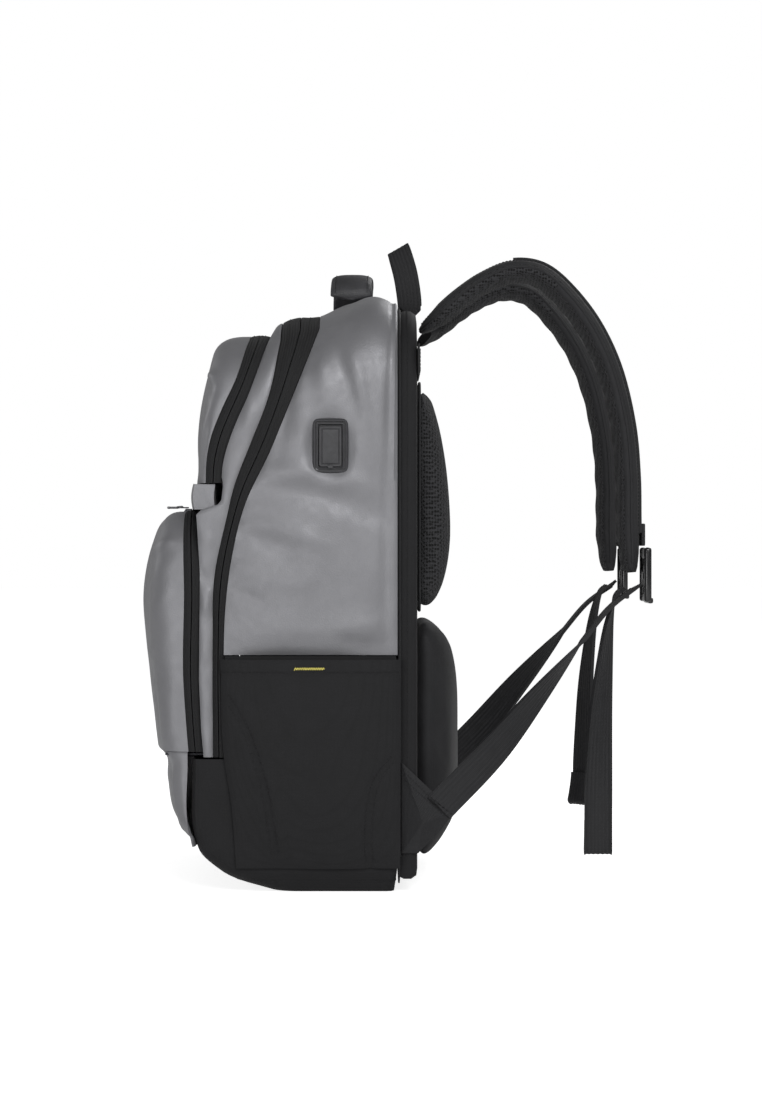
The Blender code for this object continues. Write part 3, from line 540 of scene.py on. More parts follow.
# ---- stitches -----------------------------------------------------------------------------
def stitch_mesh(name, path, normals, pitch=0.0030, length=0.0021, width=0.0006, high=0.0003):
    """A row of separate raised stitches along a path that lies on a surface."""
    gaps = np.linalg.norm(np.diff(path, axis=0), axis=1)
    reach = np.concatenate([[0.0], gaps.cumsum()])
    centres = np.arange(pitch / 2, reach[-1], pitch)
    points, faces = [], []
    for centre in centres:
        ends = [np.array([np.interp(centre + s * length / 2, reach, path[:, i])
                          for i in range(3)]) for s in (-1, 1)]
        normal = unit(np.array([np.interp(centre, reach, normals[:, i]) for i in range(3)]))
        along = unit(ends[1] - ends[0])
        wide = np.cross(along, normal) * width / 2
        base = len(points)
        for end, lift in ((ends[0], 0.0), ((ends[0] * 0.7 + ends[1] * 0.3), high),
                          ((ends[0] * 0.3 + ends[1] * 0.7), high), (ends[1], 0.0)):
            points += [end - wide - normal * 0.0003, end - wide * 0.6 + normal * (lift + 0.0001),
                       end + wide * 0.6 + normal * (lift + 0.0001), end + wide - normal * 0.0003]
        for k in range(3):
            a, b = base + 4 * k, base + 4 * k + 4
            faces += [(a + j, a + (j + 1) % 4, b + (j + 1) % 4, b + j) for j in range(4)]
        faces += [(base, base + 1, base + 2, base + 3),
                  (base + 15, base + 14, base + 13, base + 12)]
    mesh = closed_mesh(name, [tuple(p) for p in points], faces)
    write_uv(mesh, np.zeros((len(mesh.vertices), 2)))
    return mesh


def stitch_row(name, path, normals, body, slot="webbing", **sizes):
    """A row of stitches as a piece."""
    mesh = stitch_mesh(name, np.asarray(path), np.asarray(normals), **sizes)
    return finish_piece(name, mesh, slot, body)


# ---- camera, lights and floor -------------------------------------------------------------
SKY_LIGHT = 0.20                # soft light from all round; the backdrop itself shows white
FLOOR_SEEN, FLOOR_LIGHT = 0.82, 0.10    # the floor's glow as it shows, and as it lights
CAMERA_PLACE = (2.09, 0.0608, 0.2744)


def seen_or_lit(tree, seen, lit):
    """A backdrop's brightness as it shows, and the lower one with which it lights."""
    rays = add_node(tree, "ShaderNodeLightPath")
    strength = add_node(tree, "ShaderNodeMapRange")
    strength.inputs["To Min"].default_value = lit
    strength.inputs["To Max"].default_value = seen
    tree.links.new(rays.outputs["Is Camera Ray"], strength.inputs["Value"])
    return strength.outputs["Result"]


def make_stage():
    """Camera at the side, white backdrop, pale floor and four soft lamps."""
    scene = bpy.context.scene
    scene.view_settings.view_transform = "Standard"
    camera = bpy.data.objects.new("camera", bpy.data.cameras.new("camera"))
    scene.collection.objects.link(camera)
    camera.location = CAMERA_PLACE
    camera.rotation_euler = (math.radians(90), 0.0, math.radians(90))
    camera.data.lens = 79.5
    camera.data.sensor_width = 36.0
    scene.camera = camera

    world = bpy.data.worlds.new("studio")
    world.use_nodes = True
    tree = world.node_tree
    tree.nodes["Background"].inputs["Color"].default_value = (1.0, 1.0, 1.0, 1.0)
    tree.links.new(seen_or_lit(tree, 1.0, SKY_LIGHT),
                   tree.nodes["Background"].inputs["Strength"])
    scene.world = world

    bpy.ops.mesh.primitive_plane_add(size=30.0, location=(0.0, 0.0, -0.0005))
    floor = bpy.context.object
    floor.name = "floor"
    material, tree, shader = new_material("floor", (0.93, 0.93, 0.93), 0.85,
                                          Emission_Color=(1.0, 1.0, 1.0, 1.0))
    tree.links.new(seen_or_lit(tree, FLOOR_SEEN, FLOOR_LIGHT), shader.inputs["Emission Strength"])
    tone = noise(tree, coordinates(tree, "Object"), 0.7, 2.0)
    vary(tree, shader, "Base Color", tone, (0.925,) * 3, (0.94,) * 3)
    floor.data.materials.append(material)

    for name, place, aim, size, power in (
            ("key", (1.9, 0.5, 1.3), (0.0, -0.02, 0.25), 1.0, 17.0),
            ("fill", (1.8, -0.6, 0.2), (0.0, 0.0, 0.20), 0.9, 6.0),
            ("rim", (-1.2, 0.9, 1.5), (0.0, 0.1, 0.30), 0.8, 10.0),
            ("front", (-0.8, -1.7, 0.9), (0.0, -0.1, 0.20), 0.8, 3.0)):
        light = bpy.data.objects.new(name, bpy.data.lights.new(name, "AREA"))
        scene.collection.objects.link(light)
        light.data.shape = "DISK"
        light.data.size = size
        light.data.energy = power
        light.location = place
        light.rotation_euler = (Vector(aim) - Vector(place)).to_track_quat("-Z", "Y").to_euler()


make_stage()


# ---- the arch: one side, over the top and down the other side ------------------------------
def arch(half_width, base, top, radius, step=STEP):
    """Evenly spaced (x, z) points from the lower left, over the top, to the lower right."""
    shoulder = top - radius
    rise, bend, flat = shoulder - base, radius * math.pi / 2, 2 * (half_width - radius)
    count = int((2 * (rise + bend) + flat) / step) // 2 * 2
    points = []
    for s in np.linspace(0.0, 2 * (rise + bend) + flat, count + 1):
        back = 2 * (rise + bend) + flat - s
        near, side = (s, -1) if s <= back else (back, 1)
        if near <= rise:
            points.append((side * half_width, base + near))
        elif near <= rise + bend:
            turn = (near - rise) / radius
            points.append((side * (half_width - radius + radius * math.cos(turn)),
                           shoulder + radius * math.sin(turn)))
        else:
            points.append((side * (half_width - radius - (near - rise - bend)), top))
    return np.array(points)


def arch_strip(front, rear, base, columns, straight_front=False):
    """Grid of points on the gusset between two seams, leaning with the bag's top line."""
    outline = arch(HALF_WIDTH, base, BAG_TOP, ARCH_RADIUS)
    x, z = outline[:, :1], outline[:, 1:]
    lean = np.maximum(0.0, (z - LIFT_Z) / (BAG_TOP - LIFT_Z))
    share = np.linspace(0.0, 1.0, columns + 1)[None, :]
    front_y = (np.interp(z, *np.array(front, float).T) if straight_front
               else value_at(front, z))
    y = front_y + (value_at(rear, z) - front_y) * share
    height = z + lean * (value_at(TOP_LINE, y) - BAG_TOP)
    return np.stack([np.broadcast_to(x, y.shape), y, height], axis=2)


def both_sides(folds):
    """The same folds on the bag's right and left side."""
    mirrored = [tuple([(-p[0], p[1], p[2]) for p in fold[:3]]) + fold[3:] for fold in folds]
    return folds + mirrored


def on_side(rows):
    """Folds given by (y, z) points, on the right side of the bag."""
    return [tuple([(HALF_WIDTH, y, z) for y, z in row[:3]]) + row[3:] for row in rows]


SIDE_FOLDS = on_side([          # start, middle, end, width, height
    ((0.004, 0.447), (0.010, 0.425), (0.022, 0.376), 0.0075, 0.0026),
    ((0.016, 0.446), (0.032, 0.430), (0.040, 0.385), 0.0065, -0.0024),
    ((0.030, 0.440), (0.046, 0.410), (0.054, 0.360), 0.0070, 0.0026),
    ((-0.006, 0.430), (-0.010, 0.400), (0.004, 0.352), 0.0080, 0.0022),
    ((-0.014, 0.408), (-0.018, 0.380), (-0.022, 0.345), 0.0060, -0.0020),
    ((0.060, 0.420), (0.060, 0.390), (0.064, 0.340), 0.0060, 0.0020),
    ((-0.044, 0.318), (0.002, 0.328), (0.062, 0.300), 0.0080, -0.0032),
    ((-0.040, 0.334), (0.000, 0.344), (0.058, 0.322), 0.0075, 0.0022),
    ((-0.050, 0.298), (-0.020, 0.296), (0.020, 0.276), 0.0070, 0.0024),
    ((-0.054, 0.285), (-0.030, 0.280), (-0.004, 0.268), 0.0065, -0.0020),
    ((-0.060, 0.246), (-0.046, 0.236), (-0.026, 0.226), 0.0060, -0.0020),
    ((-0.058, 0.262), (-0.030, 0.250), (0.010, 0.246), 0.0100, 0.0018),
    ((0.030, 0.202), (0.052, 0.196), (0.068, 0.200), 0.0060, -0.0020),
    ((0.020, 0.214), (0.044, 0.210), (0.066, 0.216), 0.0080, 0.0016),
    ((0.052, 0.300), (0.060, 0.270), (0.056, 0.230), 0.0100, 0.0016),
])
TOP_FOLDS = [
    ((0.110, -0.004, 0.478), (0.090, 0.030, 0.482), (0.060, 0.062, 0.486), 0.010, 0.0014),
    ((0.120, 0.030, 0.466), (0.080, 0.044, 0.480), (0.030, 0.050, 0.486), 0.008, -0.0012),
    ((0.050, 0.010, 0.470), (0.020, 0.016, 0.472), (-0.040, 0.012, 0.470), 0.008, -0.0010),
]
STRIP_FOLDS = on_side([
    ((-0.094, 0.292), (-0.084, 0.284), (-0.072, 0.280), 0.0050, 0.0016),
    ((-0.090, 0.262), (-0.082, 0.250), (-0.072, 0.246), 0.0045, -0.0016),
    ((-0.088, 0.236), (-0.080, 0.230), (-0.073, 0.222), 0.0045, 0.0014),
    ((-0.086, 0.180), (-0.080, 0.182), (-0.073, 0.180), 0.0030, -0.0012),
    ((-0.084, 0.318), (-0.076, 0.310), (-0.064, 0.312), 0.0045, -0.0016),
    ((-0.050, 0.400), (-0.046, 0.390), (-0.044, 0.370), 0.0050, 0.0014),
])


def make_body_shell():
    """Coated gusset, its rolled rear seam, and the main zip's tapes with their flaps."""
    rear_edge = [(0.0, BACK_Y), (0.6, BACK_Y)]
    split = between(MAIN_ZIP_FRONT, MAIN_ZIP_REAR, 0.5)
    grid = arch_strip(shifted(MAIN_ZIP_REAR, SEAM), rear_edge, GREY_BASE_Z + GAP, 38)
    share = np.linspace(0.0, 1.0, grid.shape[1])[None, :]
    edge = np.sin(math.pi * share) ** 0.7
    low = np.clip((grid[..., 2] - GREY_BASE_Z) / 0.020, 0.0, 1.0) ** 0.6
    side = np.clip((np.abs(grid[..., 0]) - 0.10) / 0.045, 0.0, 1.0)
    height = 0.0050 * edge * low * (0.35 + 0.65 * side)
    height += fold_height(grid, both_sides(SIDE_FOLDS) + both_sides(TOP_FOLDS)) * edge ** 0.5
    height += 0.0006 * ripple(grid, 0.075, 3) * edge
    pucker = np.sin(grid[..., 2] * 2 * math.pi / 0.017) + np.sin(grid[..., 2] * 410.0 + 1.0)
    height += 0.00035 * pucker * np.exp(-(share / 0.10) ** 2) * edge ** 0.3
    height += 0.0011 * np.exp(-((share - 0.975) / 0.022) ** 2)
    height -= 0.0008 * np.exp(-((share - 0.93) / 0.020) ** 2)
    height *= np.clip((grid[..., 2] - GREY_BASE_Z) / 0.004, 0.25, 1.0)
    port_gap = np.hypot(grid[..., 1] - USB_CENTRE[0], (grid[..., 2] - USB_CENTRE[1]) / 1.3)
    port = (grid[..., 0] > 0.14) * np.exp(-(port_gap / 0.019) ** 6)
    height = height * (1 - port)
    cloth_sheet("side_and_top_fabric", raised(grid, height), FABRIC, "coated_grey", "bag",
                ["main_gusset"])

    for name, front, rear, base, body, node in (
            ("rear_zip_flap", shifted(split, GAP), MAIN_ZIP_REAR, HEM_Z + GAP, "bag",
             "rear_zip_tape"),
            ("front_zip_flap", MAIN_ZIP_FRONT, shifted(split, -GAP), HEM_Z + 2 * GAP,
             "front_panel", "front_zip_tape")):
        grid = arch_strip(front, rear, base, 10)
        zip_flap(name, grid, body, node, name.startswith("rear"))

    front = [(z, y) for z, y in LOWER_ZIP_REAR if z < 0.30]
    front += [(POCKET_SPLIT_Z - 0.006, -0.0880), (POCKET_SPLIT_Z, -0.0680)]
    front += [(z, y) for z, y in UPPER_ZIP_REAR if z > POCKET_SPLIT_Z]
    grid = arch_strip(shifted(front, SEAM), shifted(MAIN_ZIP_FRONT, -SEAM), HEM_Z + 2 * GAP,
                      12, straight_front=True)
    share = np.linspace(0.0, 1.0, grid.shape[1])[None, :]
    seam = arch(HALF_WIDTH - 0.001, POCKET_SPLIT_Z + 0.001, 0.4500, 0.060, 0.0005)
    for row in grid:
        weight = float(np.clip((row[0, 2] - 0.326) / 0.006, 0.0, 1.0))
        x, z = seam[np.hypot(seam[:, 0] - row[0, 0], seam[:, 1] - row[0, 2]).argmin()]
        offset = np.array([x, float(value_at(UPPER_ZIP_REAR, z)) + SEAM, z]) - row[0]
        row += weight * offset * (1 - share[0][:, None]) ** 1.5
    edge = np.sin(math.pi * share) ** 0.7
    height = 0.0016 * edge + fold_height(grid, both_sides(STRIP_FOLDS)) * edge
    height += 0.0005 * ripple(grid, 0.045, 9) * edge
    cloth_sheet("front_gusset_fabric", raised(grid, height), FABRIC, "coated_grey",
                "front_panel", ["front_gusset"])


TUCK = 0.0026                   # how far a tape runs under the fabric beside it
TUCK_DEPTH = 0.0030


def zip_flap(name, grid, body, node, lip_first, inside=BAG_MIDDLE):
    """Half of a zip's cover: tape with a raised lip at the meeting edge and a stitch line."""
    columns = grid.shape[1]
    share = np.linspace(0.0, 1.0, columns)[None, :]
    near = share if lip_first else 1 - share
    height = 0.0011 * np.exp(-(near / 0.30) ** 2) + 0.0006 * np.sin(math.pi * share)
    tuck = grid[:, -1:] - grid[:, -2:-1] if lip_first else grid[:, :1] - grid[:, 1:2]
    tuck *= TUCK / np.linalg.norm(tuck, axis=2, keepdims=True)
    if lip_first:
        grid = np.concatenate([grid, grid[:, -1:] + tuck], axis=1)
        height = np.concatenate([height, [[-TUCK_DEPTH]]], axis=1)
    else:
        grid = np.concatenate([grid[:, :1] + tuck, grid], axis=1)
        height = np.concatenate([[[-TUCK_DEPTH]], height], axis=1)
    shape = raised(grid, height + 0.00025 * ripple(grid, 0.030, 5), inside)
    cloth_sheet(name, shape, TAPE, "zip_tape", body, [node], inside)
    column = columns // 2
    outward = grid_normals(shape)[:, column]
    if (outward * (shape[:, column] - np.array(inside))).sum() < 0:
        outward = -outward
    stitch_row(name + "_stitching", shape[:, column], outward, body, "zip_tape",
               pitch=0.0034, length=0.0024, width=0.0005)


# ---- pocket covers --------------------------------------------------------------------------
def cover_grid(half_width, base, top, radius, edge, face, side_drop, rim=0.022, power=3.0):
    """Front of a pocket as a height field over x and z, with its rim turned back."""
    turn = np.linspace(-1.0, 1.0, 79)[None, :]
    spread = np.sign(turn) * np.abs(np.sin(turn * math.pi / 2)) ** 0.9
    lift = 1 - (1 - np.linspace(0.0, 1.0, 61)) ** 1.7
    z = (base + (top - base) * lift)[:, None]
    shoulder = top - radius
    above = np.clip(z - shoulder, 0.0, radius)
    width = half_width - radius + np.sqrt(np.maximum(radius ** 2 - above ** 2, 0.0))
    x = spread * width
    out_x = np.maximum(np.abs(x) - (half_width - radius), 0.0)
    corner = radius - np.hypot(out_x, np.broadcast_to(above, out_x.shape))
    inset = np.where((out_x > 0) & (above > 0), corner,
                     np.minimum(half_width - np.abs(x), top - z))
    inset = np.clip(inset, 0.0, rim)
    forward = (1 - (1 - inset / rim) ** power) ** (1 / power)
    face_y = value_at(face, z) + side_drop * (x / half_width) ** 2
    y = value_at(edge, z) * (1 - forward) + face_y * forward
    z = np.broadcast_to(z, x.shape)
    return np.stack([x, y, z], axis=2), forward


UPPER_FOLDS = [
    ((0.142, -0.070, 0.412), (0.128, -0.080, 0.417), (0.095, -0.088, 0.419), 0.0045, 0.0030),
    ((0.142, -0.072, 0.402), (0.126, -0.084, 0.406), (0.090, -0.090, 0.409), 0.0050, -0.0026),
    ((0.144, -0.074, 0.388), (0.134, -0.084, 0.370), (0.130, -0.086, 0.340), 0.0055, 0.0024),
    ((0.120, -0.088, 0.398), (0.112, -0.090, 0.370), (0.116, -0.090, 0.338), 0.0080, -0.0022),
    ((0.060, -0.088, 0.438), (0.050, -0.092, 0.400), (0.058, -0.094, 0.350), 0.0120, 0.0020),
]
LOWER_FOLDS = [
    ((0.144, -0.104, 0.284), (0.130, -0.118, 0.276), (0.100, -0.128, 0.262), 0.0050, 0.0034),
    ((0.142, -0.106, 0.270), (0.128, -0.120, 0.260), (0.098, -0.130, 0.246), 0.0055, -0.0030),
    ((0.146, -0.100, 0.250), (0.138, -0.116, 0.235), (0.126, -0.122, 0.205), 0.0060, 0.0030),
    ((0.146, -0.100, 0.214), (0.136, -0.114, 0.206), (0.118, -0.126, 0.186), 0.0055, 0.0028),
    ((0.146, -0.098, 0.196), (0.132, -0.116, 0.186), (0.110, -0.126, 0.168), 0.0055, -0.0028),
    ((0.144, -0.100, 0.180), (0.140, -0.108, 0.150), (0.138, -0.106, 0.118), 0.0055, 0.0028),
    ((0.132, -0.116, 0.176), (0.128, -0.118, 0.150), (0.126, -0.114, 0.120), 0.0060, -0.0026),
    ((0.070, -0.132, 0.288), (0.060, -0.138, 0.240), (0.070, -0.138, 0.180), 0.0140, 0.0020),
]


def make_pocket(label, size, front, rear, face, side_drop, folds, seed):
    """Fine cover of a pocket with its folds, and the two halves of its zip."""
    half_width, base, top, radius = size
    grid, forward = cover_grid(half_width, base, top, radius, shifted(front, -GAP), face,
                               side_drop)
    centre = (0.0, float(value_at(rear, base)) + 0.05, base + 0.05)
    free = np.clip(forward * 1.15, 0.0, 1.0) * np.clip((grid[..., 2] - base) / 0.010, 0.0, 1.0)
    height = fold_height(grid, both_sides(folds)) * free
    height += 0.0010 * ripple(grid, 0.110, seed) * free ** 2
    cloth_sheet(label + "_cover_fabric", raised(grid, height, centre), FABRIC, "coated_grey",
                label + "_cover", [label + "_pocket_cover"], centre)
    outline = arch(half_width, base, top, radius)
    x, z = outline[:, :1], outline[:, 1:]
    split = between(front, rear, 0.5)
    for name, first, second, body, node, lip in (
            ("outer", shifted(front, GAP), shifted(split, -GAP), label + "_cover",
             label + "_zip_tape_outer", False),
            ("inner", shifted(split, GAP), shifted(rear, -GAP), "front_panel",
             label + "_zip_tape_inner", True)):
        share = np.linspace(0.0, 1.0, 7)[None, :]
        y = value_at(first, z) * (1 - share) + value_at(second, z) * share
        band = np.stack([np.broadcast_to(x, y.shape), y, np.broadcast_to(z, y.shape)], axis=2)
        zip_flap(label + "_zip_" + name, band, body, node, lip, centre)


def make_pockets():
    """Both front pockets and the shelf of fabric between them."""
    make_pocket("upper", (HALF_WIDTH - 0.001, POCKET_SPLIT_Z + 0.001, 0.4500, 0.060),
                UPPER_ZIP_FRONT, UPPER_ZIP_REAR, UPPER_FACE, 0.012, UPPER_FOLDS, 21)
    make_pocket("lower", (HALF_WIDTH - 0.001, 0.1130, LOWER_POCKET_TOP, 0.050),
                LOWER_ZIP_FRONT, LOWER_ZIP_REAR, LOWER_FACE, 0.016, LOWER_FOLDS, 22)
    # The shelf of fabric between the two pockets, with its top and its sides.
    u = np.concatenate([np.linspace(1.0, -1.0, 91), [-1.0, -1.0, -0.5, 0.0, 0.5, 1.0, 1.0]])
    y = np.concatenate([-0.0885 - 0.0080 * (1 - np.abs(u[:91]) ** 2.5),
                        [-0.0800, -0.0720, -0.0720, -0.0720, -0.0720, -0.0720, -0.0800]])
    low, high = LOWER_POCKET_TOP + 0.0012, POCKET_SPLIT_Z + 0.0004
    rings = []
    for share in np.linspace(0.0, 1.0, 11):
        swell = 1 + 0.015 * math.sin(math.pi * share)
        z = low + (high - low) * share + 0.0004 * np.sin(u * 23.0)
        rings.append(np.stack([u * (HALF_WIDTH - 0.003), y * swell, z], axis=1))
    tube_piece("between_pockets_fabric", rings, "coated_grey", "front_panel", ["mid_panel"])


def resampled(points, count=None):
    """A flat outline with evenly spaced points: count steps, or one for each STEP."""
    reach = np.concatenate([[0.0], np.linalg.norm(np.diff(points, axis=0), axis=1).cumsum()])
    at = np.linspace(0.0, reach[-1], (count or int(reach[-1] / STEP)) + 1)
    return np.stack([np.interp(at, reach, points[:, k]) for k in (0, 1)], axis=1)


# ---- base and bottle pockets ----------------------------------------------------------------
def rounded_ring(half_width, front_y, back_y, front_radius, back_radius, count=160):
    """Evenly spaced rounded rectangle in x and y, from the middle of the back round."""
    corners = ((half_width, back_y, back_radius, 90), (half_width, front_y, front_radius, 0),
               (-half_width, front_y, front_radius, -90), (-half_width, back_y, back_radius, 180))
    points = [(0.0, back_y)]
    for x, y, radius, start in corners:
        cx, cy = x - math.copysign(radius, x), y + (radius if y < 0 else -radius)
        for k in range(9):
            turn = math.radians(start - 90 * k / 8)
            points.append((cx + radius * math.cos(turn), cy + radius * math.sin(turn)))
    return resampled(np.array(points + [(0.0, back_y)]), count)


def make_base():
    """Black tub: rounded foot, bottom panel and lower walls, then the grey lower front."""
    heights = np.concatenate([np.linspace(0.0, 0.045, 16), np.linspace(0.050, 0.107, 12)])
    rings = []
    for z in heights:
        spread = min(1.0, 0.35 + 40 * z)
        width = HALF_WIDTH - 0.018 * (1 - spread)
        ring = rounded_ring(width, float(value_at(TUB_FACE, z)), BACK_Y - 0.004 * (1 - spread),
                            0.024 - 0.016 * min(1.0, z / 0.045), 0.006)
        rings.append(np.column_stack([ring, np.full(len(ring), z)]))
    wall = np.array(rings)
    middle = np.array([0.0, 0.5 * (BACK_Y - 0.030), 0.0])
    floor = []
    for share in (0.02, 0.25, 0.5, 0.75, 0.92):
        ring = middle + (wall[0] - middle) * share
        ring[:, 2] = 0.0006 * (1 - share)
        floor.append(ring)
    grid = np.concatenate([np.array(floor), wall])
    height = 0.0004 * ripple(grid, 0.050, 31) * np.clip(grid[..., 2] / 0.02, 0.0, 1.0)
    cloth_sheet("base_fabric", raised(grid, height, (0.0, 0.0, 0.06)), FABRIC, "black_nylon",
                "bag", ["base_tub"], (0.0, 0.0, 0.06))
    seam = wall[3]
    stitch_row("base_seam_stitching", seam, unit(seam - np.array([0.0, 0.0, 0.03])), "bag")

    lower_face = BASE_FACE + [(0.1124, -0.1268)]
    z = np.linspace(lower_face[0][0], lower_face[-1][0], 28)[:, None]
    u = np.sin(np.linspace(-1.0, 1.0, 81) * math.pi / 2)[None, :]
    edge_y = value_at(TUB_FACE, z) - FABRIC - 0.0016
    forward = (1 - np.clip((np.abs(u) - 0.85) / 0.15, 0.0, 1.0) ** 3.0) ** (1 / 3.0)
    face_y = np.minimum(value_at(lower_face, z) + 0.016 * u * u, edge_y)
    y = edge_y + (face_y - edge_y) * forward
    x = u * (HALF_WIDTH - 0.004) + 0 * z
    grid = np.stack([x, y, np.broadcast_to(z, y.shape)], axis=2)
    folds = [((0.138, -0.104, 0.104), (0.136, -0.104, 0.080), (0.134, -0.098, 0.050),
              0.0060, 0.0026),
             ((0.120, -0.114, 0.104), (0.118, -0.112, 0.080), (0.118, -0.104, 0.050),
              0.0070, -0.0026)]
    height = (fold_height(grid, both_sides(folds)) + 0.0008 * ripple(grid, 0.09, 33)) * forward
    cloth_sheet("lower_front_fabric", raised(grid, height), FABRIC, "coated_grey", "bag",
                ["lower_front_panel"], (0.0, 0.0, 0.08))


FRONT_DART = [(-0.0656, 0.1620), (-0.0464, 0.1300), (-0.0312, 0.0800), (-0.0240, 0.0330)]
REAR_DART = [(0.0760, 0.1140), (0.0560, 0.0880), (0.0504, 0.0450), (0.0528, 0.0200)]


def dart_distance(grid, route):
    """Distance from each point to a dart seam given as (y, z) points."""
    path = smooth_path([(0.0, y, z) for y, z in route], 24)[:, 1:]
    gap = grid[..., None, 1:] - path
    return np.linalg.norm(gap, axis=-1).min(axis=-1)


def make_side_pocket(side, label):
    """Bottle pocket with a folded hem, two curved darts, stitching and a zigzag bar tack."""
    low, high = 0.020, GREY_BASE_Z - 0.003
    hem_row = 48                # first row of the hem
    z = np.concatenate([np.linspace(low, high - 0.012, hem_row),
                        np.linspace(high - 0.010, high, 7)])[:, None]
    share = np.linspace(0.0, 1.0, 47)[None, :]
    rise = (z - low) / (high - low)
    front_y = value_at(POCKET_FRONT, z)
    y = front_y + (BACK_Y + 0.002 - front_y) * share
    swell = np.sin(math.pi * share) ** 0.5
    bulge = 0.0005 + FABRIC + 0.0100 * swell * np.sin(math.pi / 2 * rise) ** 0.6
    x = side * (HALF_WIDTH + bulge)
    grid = np.stack([x + 0 * y, y, z + 0 * y], axis=2)
    inside = (0.0, 0.01, 0.10)
    last_row, last_column = grid.shape[0] - 1, grid.shape[1] - 1
    front_gap, rear_gap = dart_distance(grid, FRONT_DART), dart_distance(grid, REAR_DART)
    free = np.sin(math.pi * share) ** 0.6
    height = -0.0022 * np.exp(-(front_gap / 0.0026) ** 2) * free
    height -= 0.0022 * np.exp(-(rear_gap / 0.0026) ** 2) * free
    height += 0.0009 * np.exp(-((front_gap - 0.006) / 0.004) ** 2) * free
    hem = np.clip((grid[..., 2] - (high - 0.011)) / 0.0015, 0.0, 1.0)
    height += 0.0007 * hem + 0.0009 * ripple(grid, 0.085, 41) * free * (1 - 0.6 * rise)
    shape = facing(raised(grid, height, inside), inside)
    cloth_sheet("bottle_pocket_" + label, shape, 0.0020, "black_nylon", "bag",
                ["side_pocket_" + label], inside)

    normals = grid_normals(shape)
    for number, route in enumerate((FRONT_DART, REAR_DART)):
        path = smooth_path([(0.0, y_, z_) for y_, z_ in route], 40)
        for offset, tag in ((-0.0030, "front"), (0.0030, "rear")):
            line, outs = [], []
            for _, y_, z_ in path:
                spot = np.hypot(shape[..., 1] - y_ - offset, shape[..., 2] - z_)
                row, column = np.unravel_index(spot.argmin(), spot.shape)
                if 1 < column < last_column - 1 and 1 < row < last_row - 1:
                    line.append((shape[row, column, 0], y_ + offset, z_))
                    outs.append(normals[row, column])
            stitch_row("bottle_pocket_%s_dart_%d_%s" % (label, number, tag),
                       smooth_line(np.array(line)), np.array(outs), "bag", "black_nylon",
                       width=0.0005, high=0.0004)
    stitch_row("bottle_pocket_%s_hem_stitching" % label, shape[hem_row], normals[hem_row],
               "bag", "black_nylon", width=0.0005, high=0.0004)
    make_bar_tack(side, label, shape)


def smooth_line(points, rounds=6):
    """A polyline with its small steps evened out and its ends kept."""
    for _ in range(rounds):
        points[1:-1] = (points[:-2] + 2 * points[1:-1] + points[2:]) / 4
    return points


def surface_x(shape, y, z):
    """X of the grid point nearest to a place seen from the side."""
    spot = np.hypot(shape[..., 1] - y, shape[..., 2] - z)
    row, column = np.unravel_index(spot.argmin(), spot.shape)
    return shape[row, column, 0]


def make_bar_tack(side, label, shape):
    """Dense zigzag of yellow thread that closes the pocket's hem to the bag."""
    lo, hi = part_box("bar_tack_" + label)
    points, count = [], 26
    for k in range(count + 1):
        y = lo.y + (hi.y - lo.y) * k / count
        z = (lo.z + hi.z) / 2 + (0.0013 if k % 2 else -0.0013)
        points.append((surface_x(shape, y, z) + side * 0.0004, y, z))
    path = np.array(points)
    fine = np.concatenate([path[:-1, None] * (1 - t) + path[1:, None] * t
                           for t in (0.0, 0.33, 0.66)], axis=1).reshape(-1, 3)
    thread_piece("bar_tack_thread_" + label, smooth_line(fine, 1), 0.00042, "yellow_thread",
                 "bag", ["bar_tack_" + label])


def thread_mesh(name, path, radius):
    """A round thread along a path."""
    _, across, face = path_axes(path, (0.31, 0.22, 0.93))
    turn = np.linspace(0.0, 2 * math.pi, 8, endpoint=False)[None, :, None]
    rings = (path[:, None] + radius * (across[:, None] * np.cos(turn)
                                       + face[:, None] * np.sin(turn)))
    return tube_mesh(name, rings)


def thread_piece(name, path, radius, slot, body, replaces=()):
    """A round thread, cord or piping along a path."""
    return finish_piece(name, thread_mesh(name, path, radius), slot, body, replaces, 60)


def inflated(name, source, pressure, cap):
    """Copy of a closed mesh, remeshed and blown up as padded cloth, moved at most cap."""
    mesh = source.copy()
    pad = bpy.data.objects.new(name, mesh)
    bpy.context.scene.collection.objects.link(pad)
    remesh = pad.modifiers.new("voxels", "REMESH")
    remesh.mode, remesh.voxel_size = "VOXEL", 0.0050
    pad.data = bpy.data.meshes.new_from_object(
        pad.evaluated_get(bpy.context.evaluated_depsgraph_get()))
    pad.modifiers.clear()
    rest = np.array([v.co for v in pad.data.vertices])
    cloth = pad.modifiers.new("cloth", "CLOTH")
    cloth.settings.use_pressure = True
    cloth.settings.uniform_pressure_force = pressure
    cloth.settings.effector_weights.gravity = 0.0
    cloth.point_cache.frame_start, cloth.point_cache.frame_end = 1, 20
    for number in range(1, 21):
        bpy.context.scene.frame_set(number)
    evaluated = pad.evaluated_get(bpy.context.evaluated_depsgraph_get())
    moved = np.array([v.co for v in evaluated.data.vertices]) - rest
    bpy.context.scene.frame_set(1)
    pad.modifiers.clear()
    length = np.linalg.norm(moved, axis=1, keepdims=True)
    moved *= np.minimum(1.0, cap / np.maximum(length, 1e-9))
    pad.data.vertices.foreach_set("co", (rest + moved).astype(np.float32).ravel())
    pad.data.update()
    smooth = pad.modifiers.new("smooth", "SUBSURF")
    smooth.levels = smooth.render_levels = 1
    mesh = bpy.data.meshes.new_from_object(
        pad.evaluated_get(bpy.context.evaluated_depsgraph_get()))
    bpy.data.objects.remove(pad)
    mesh.name = name
    return mesh


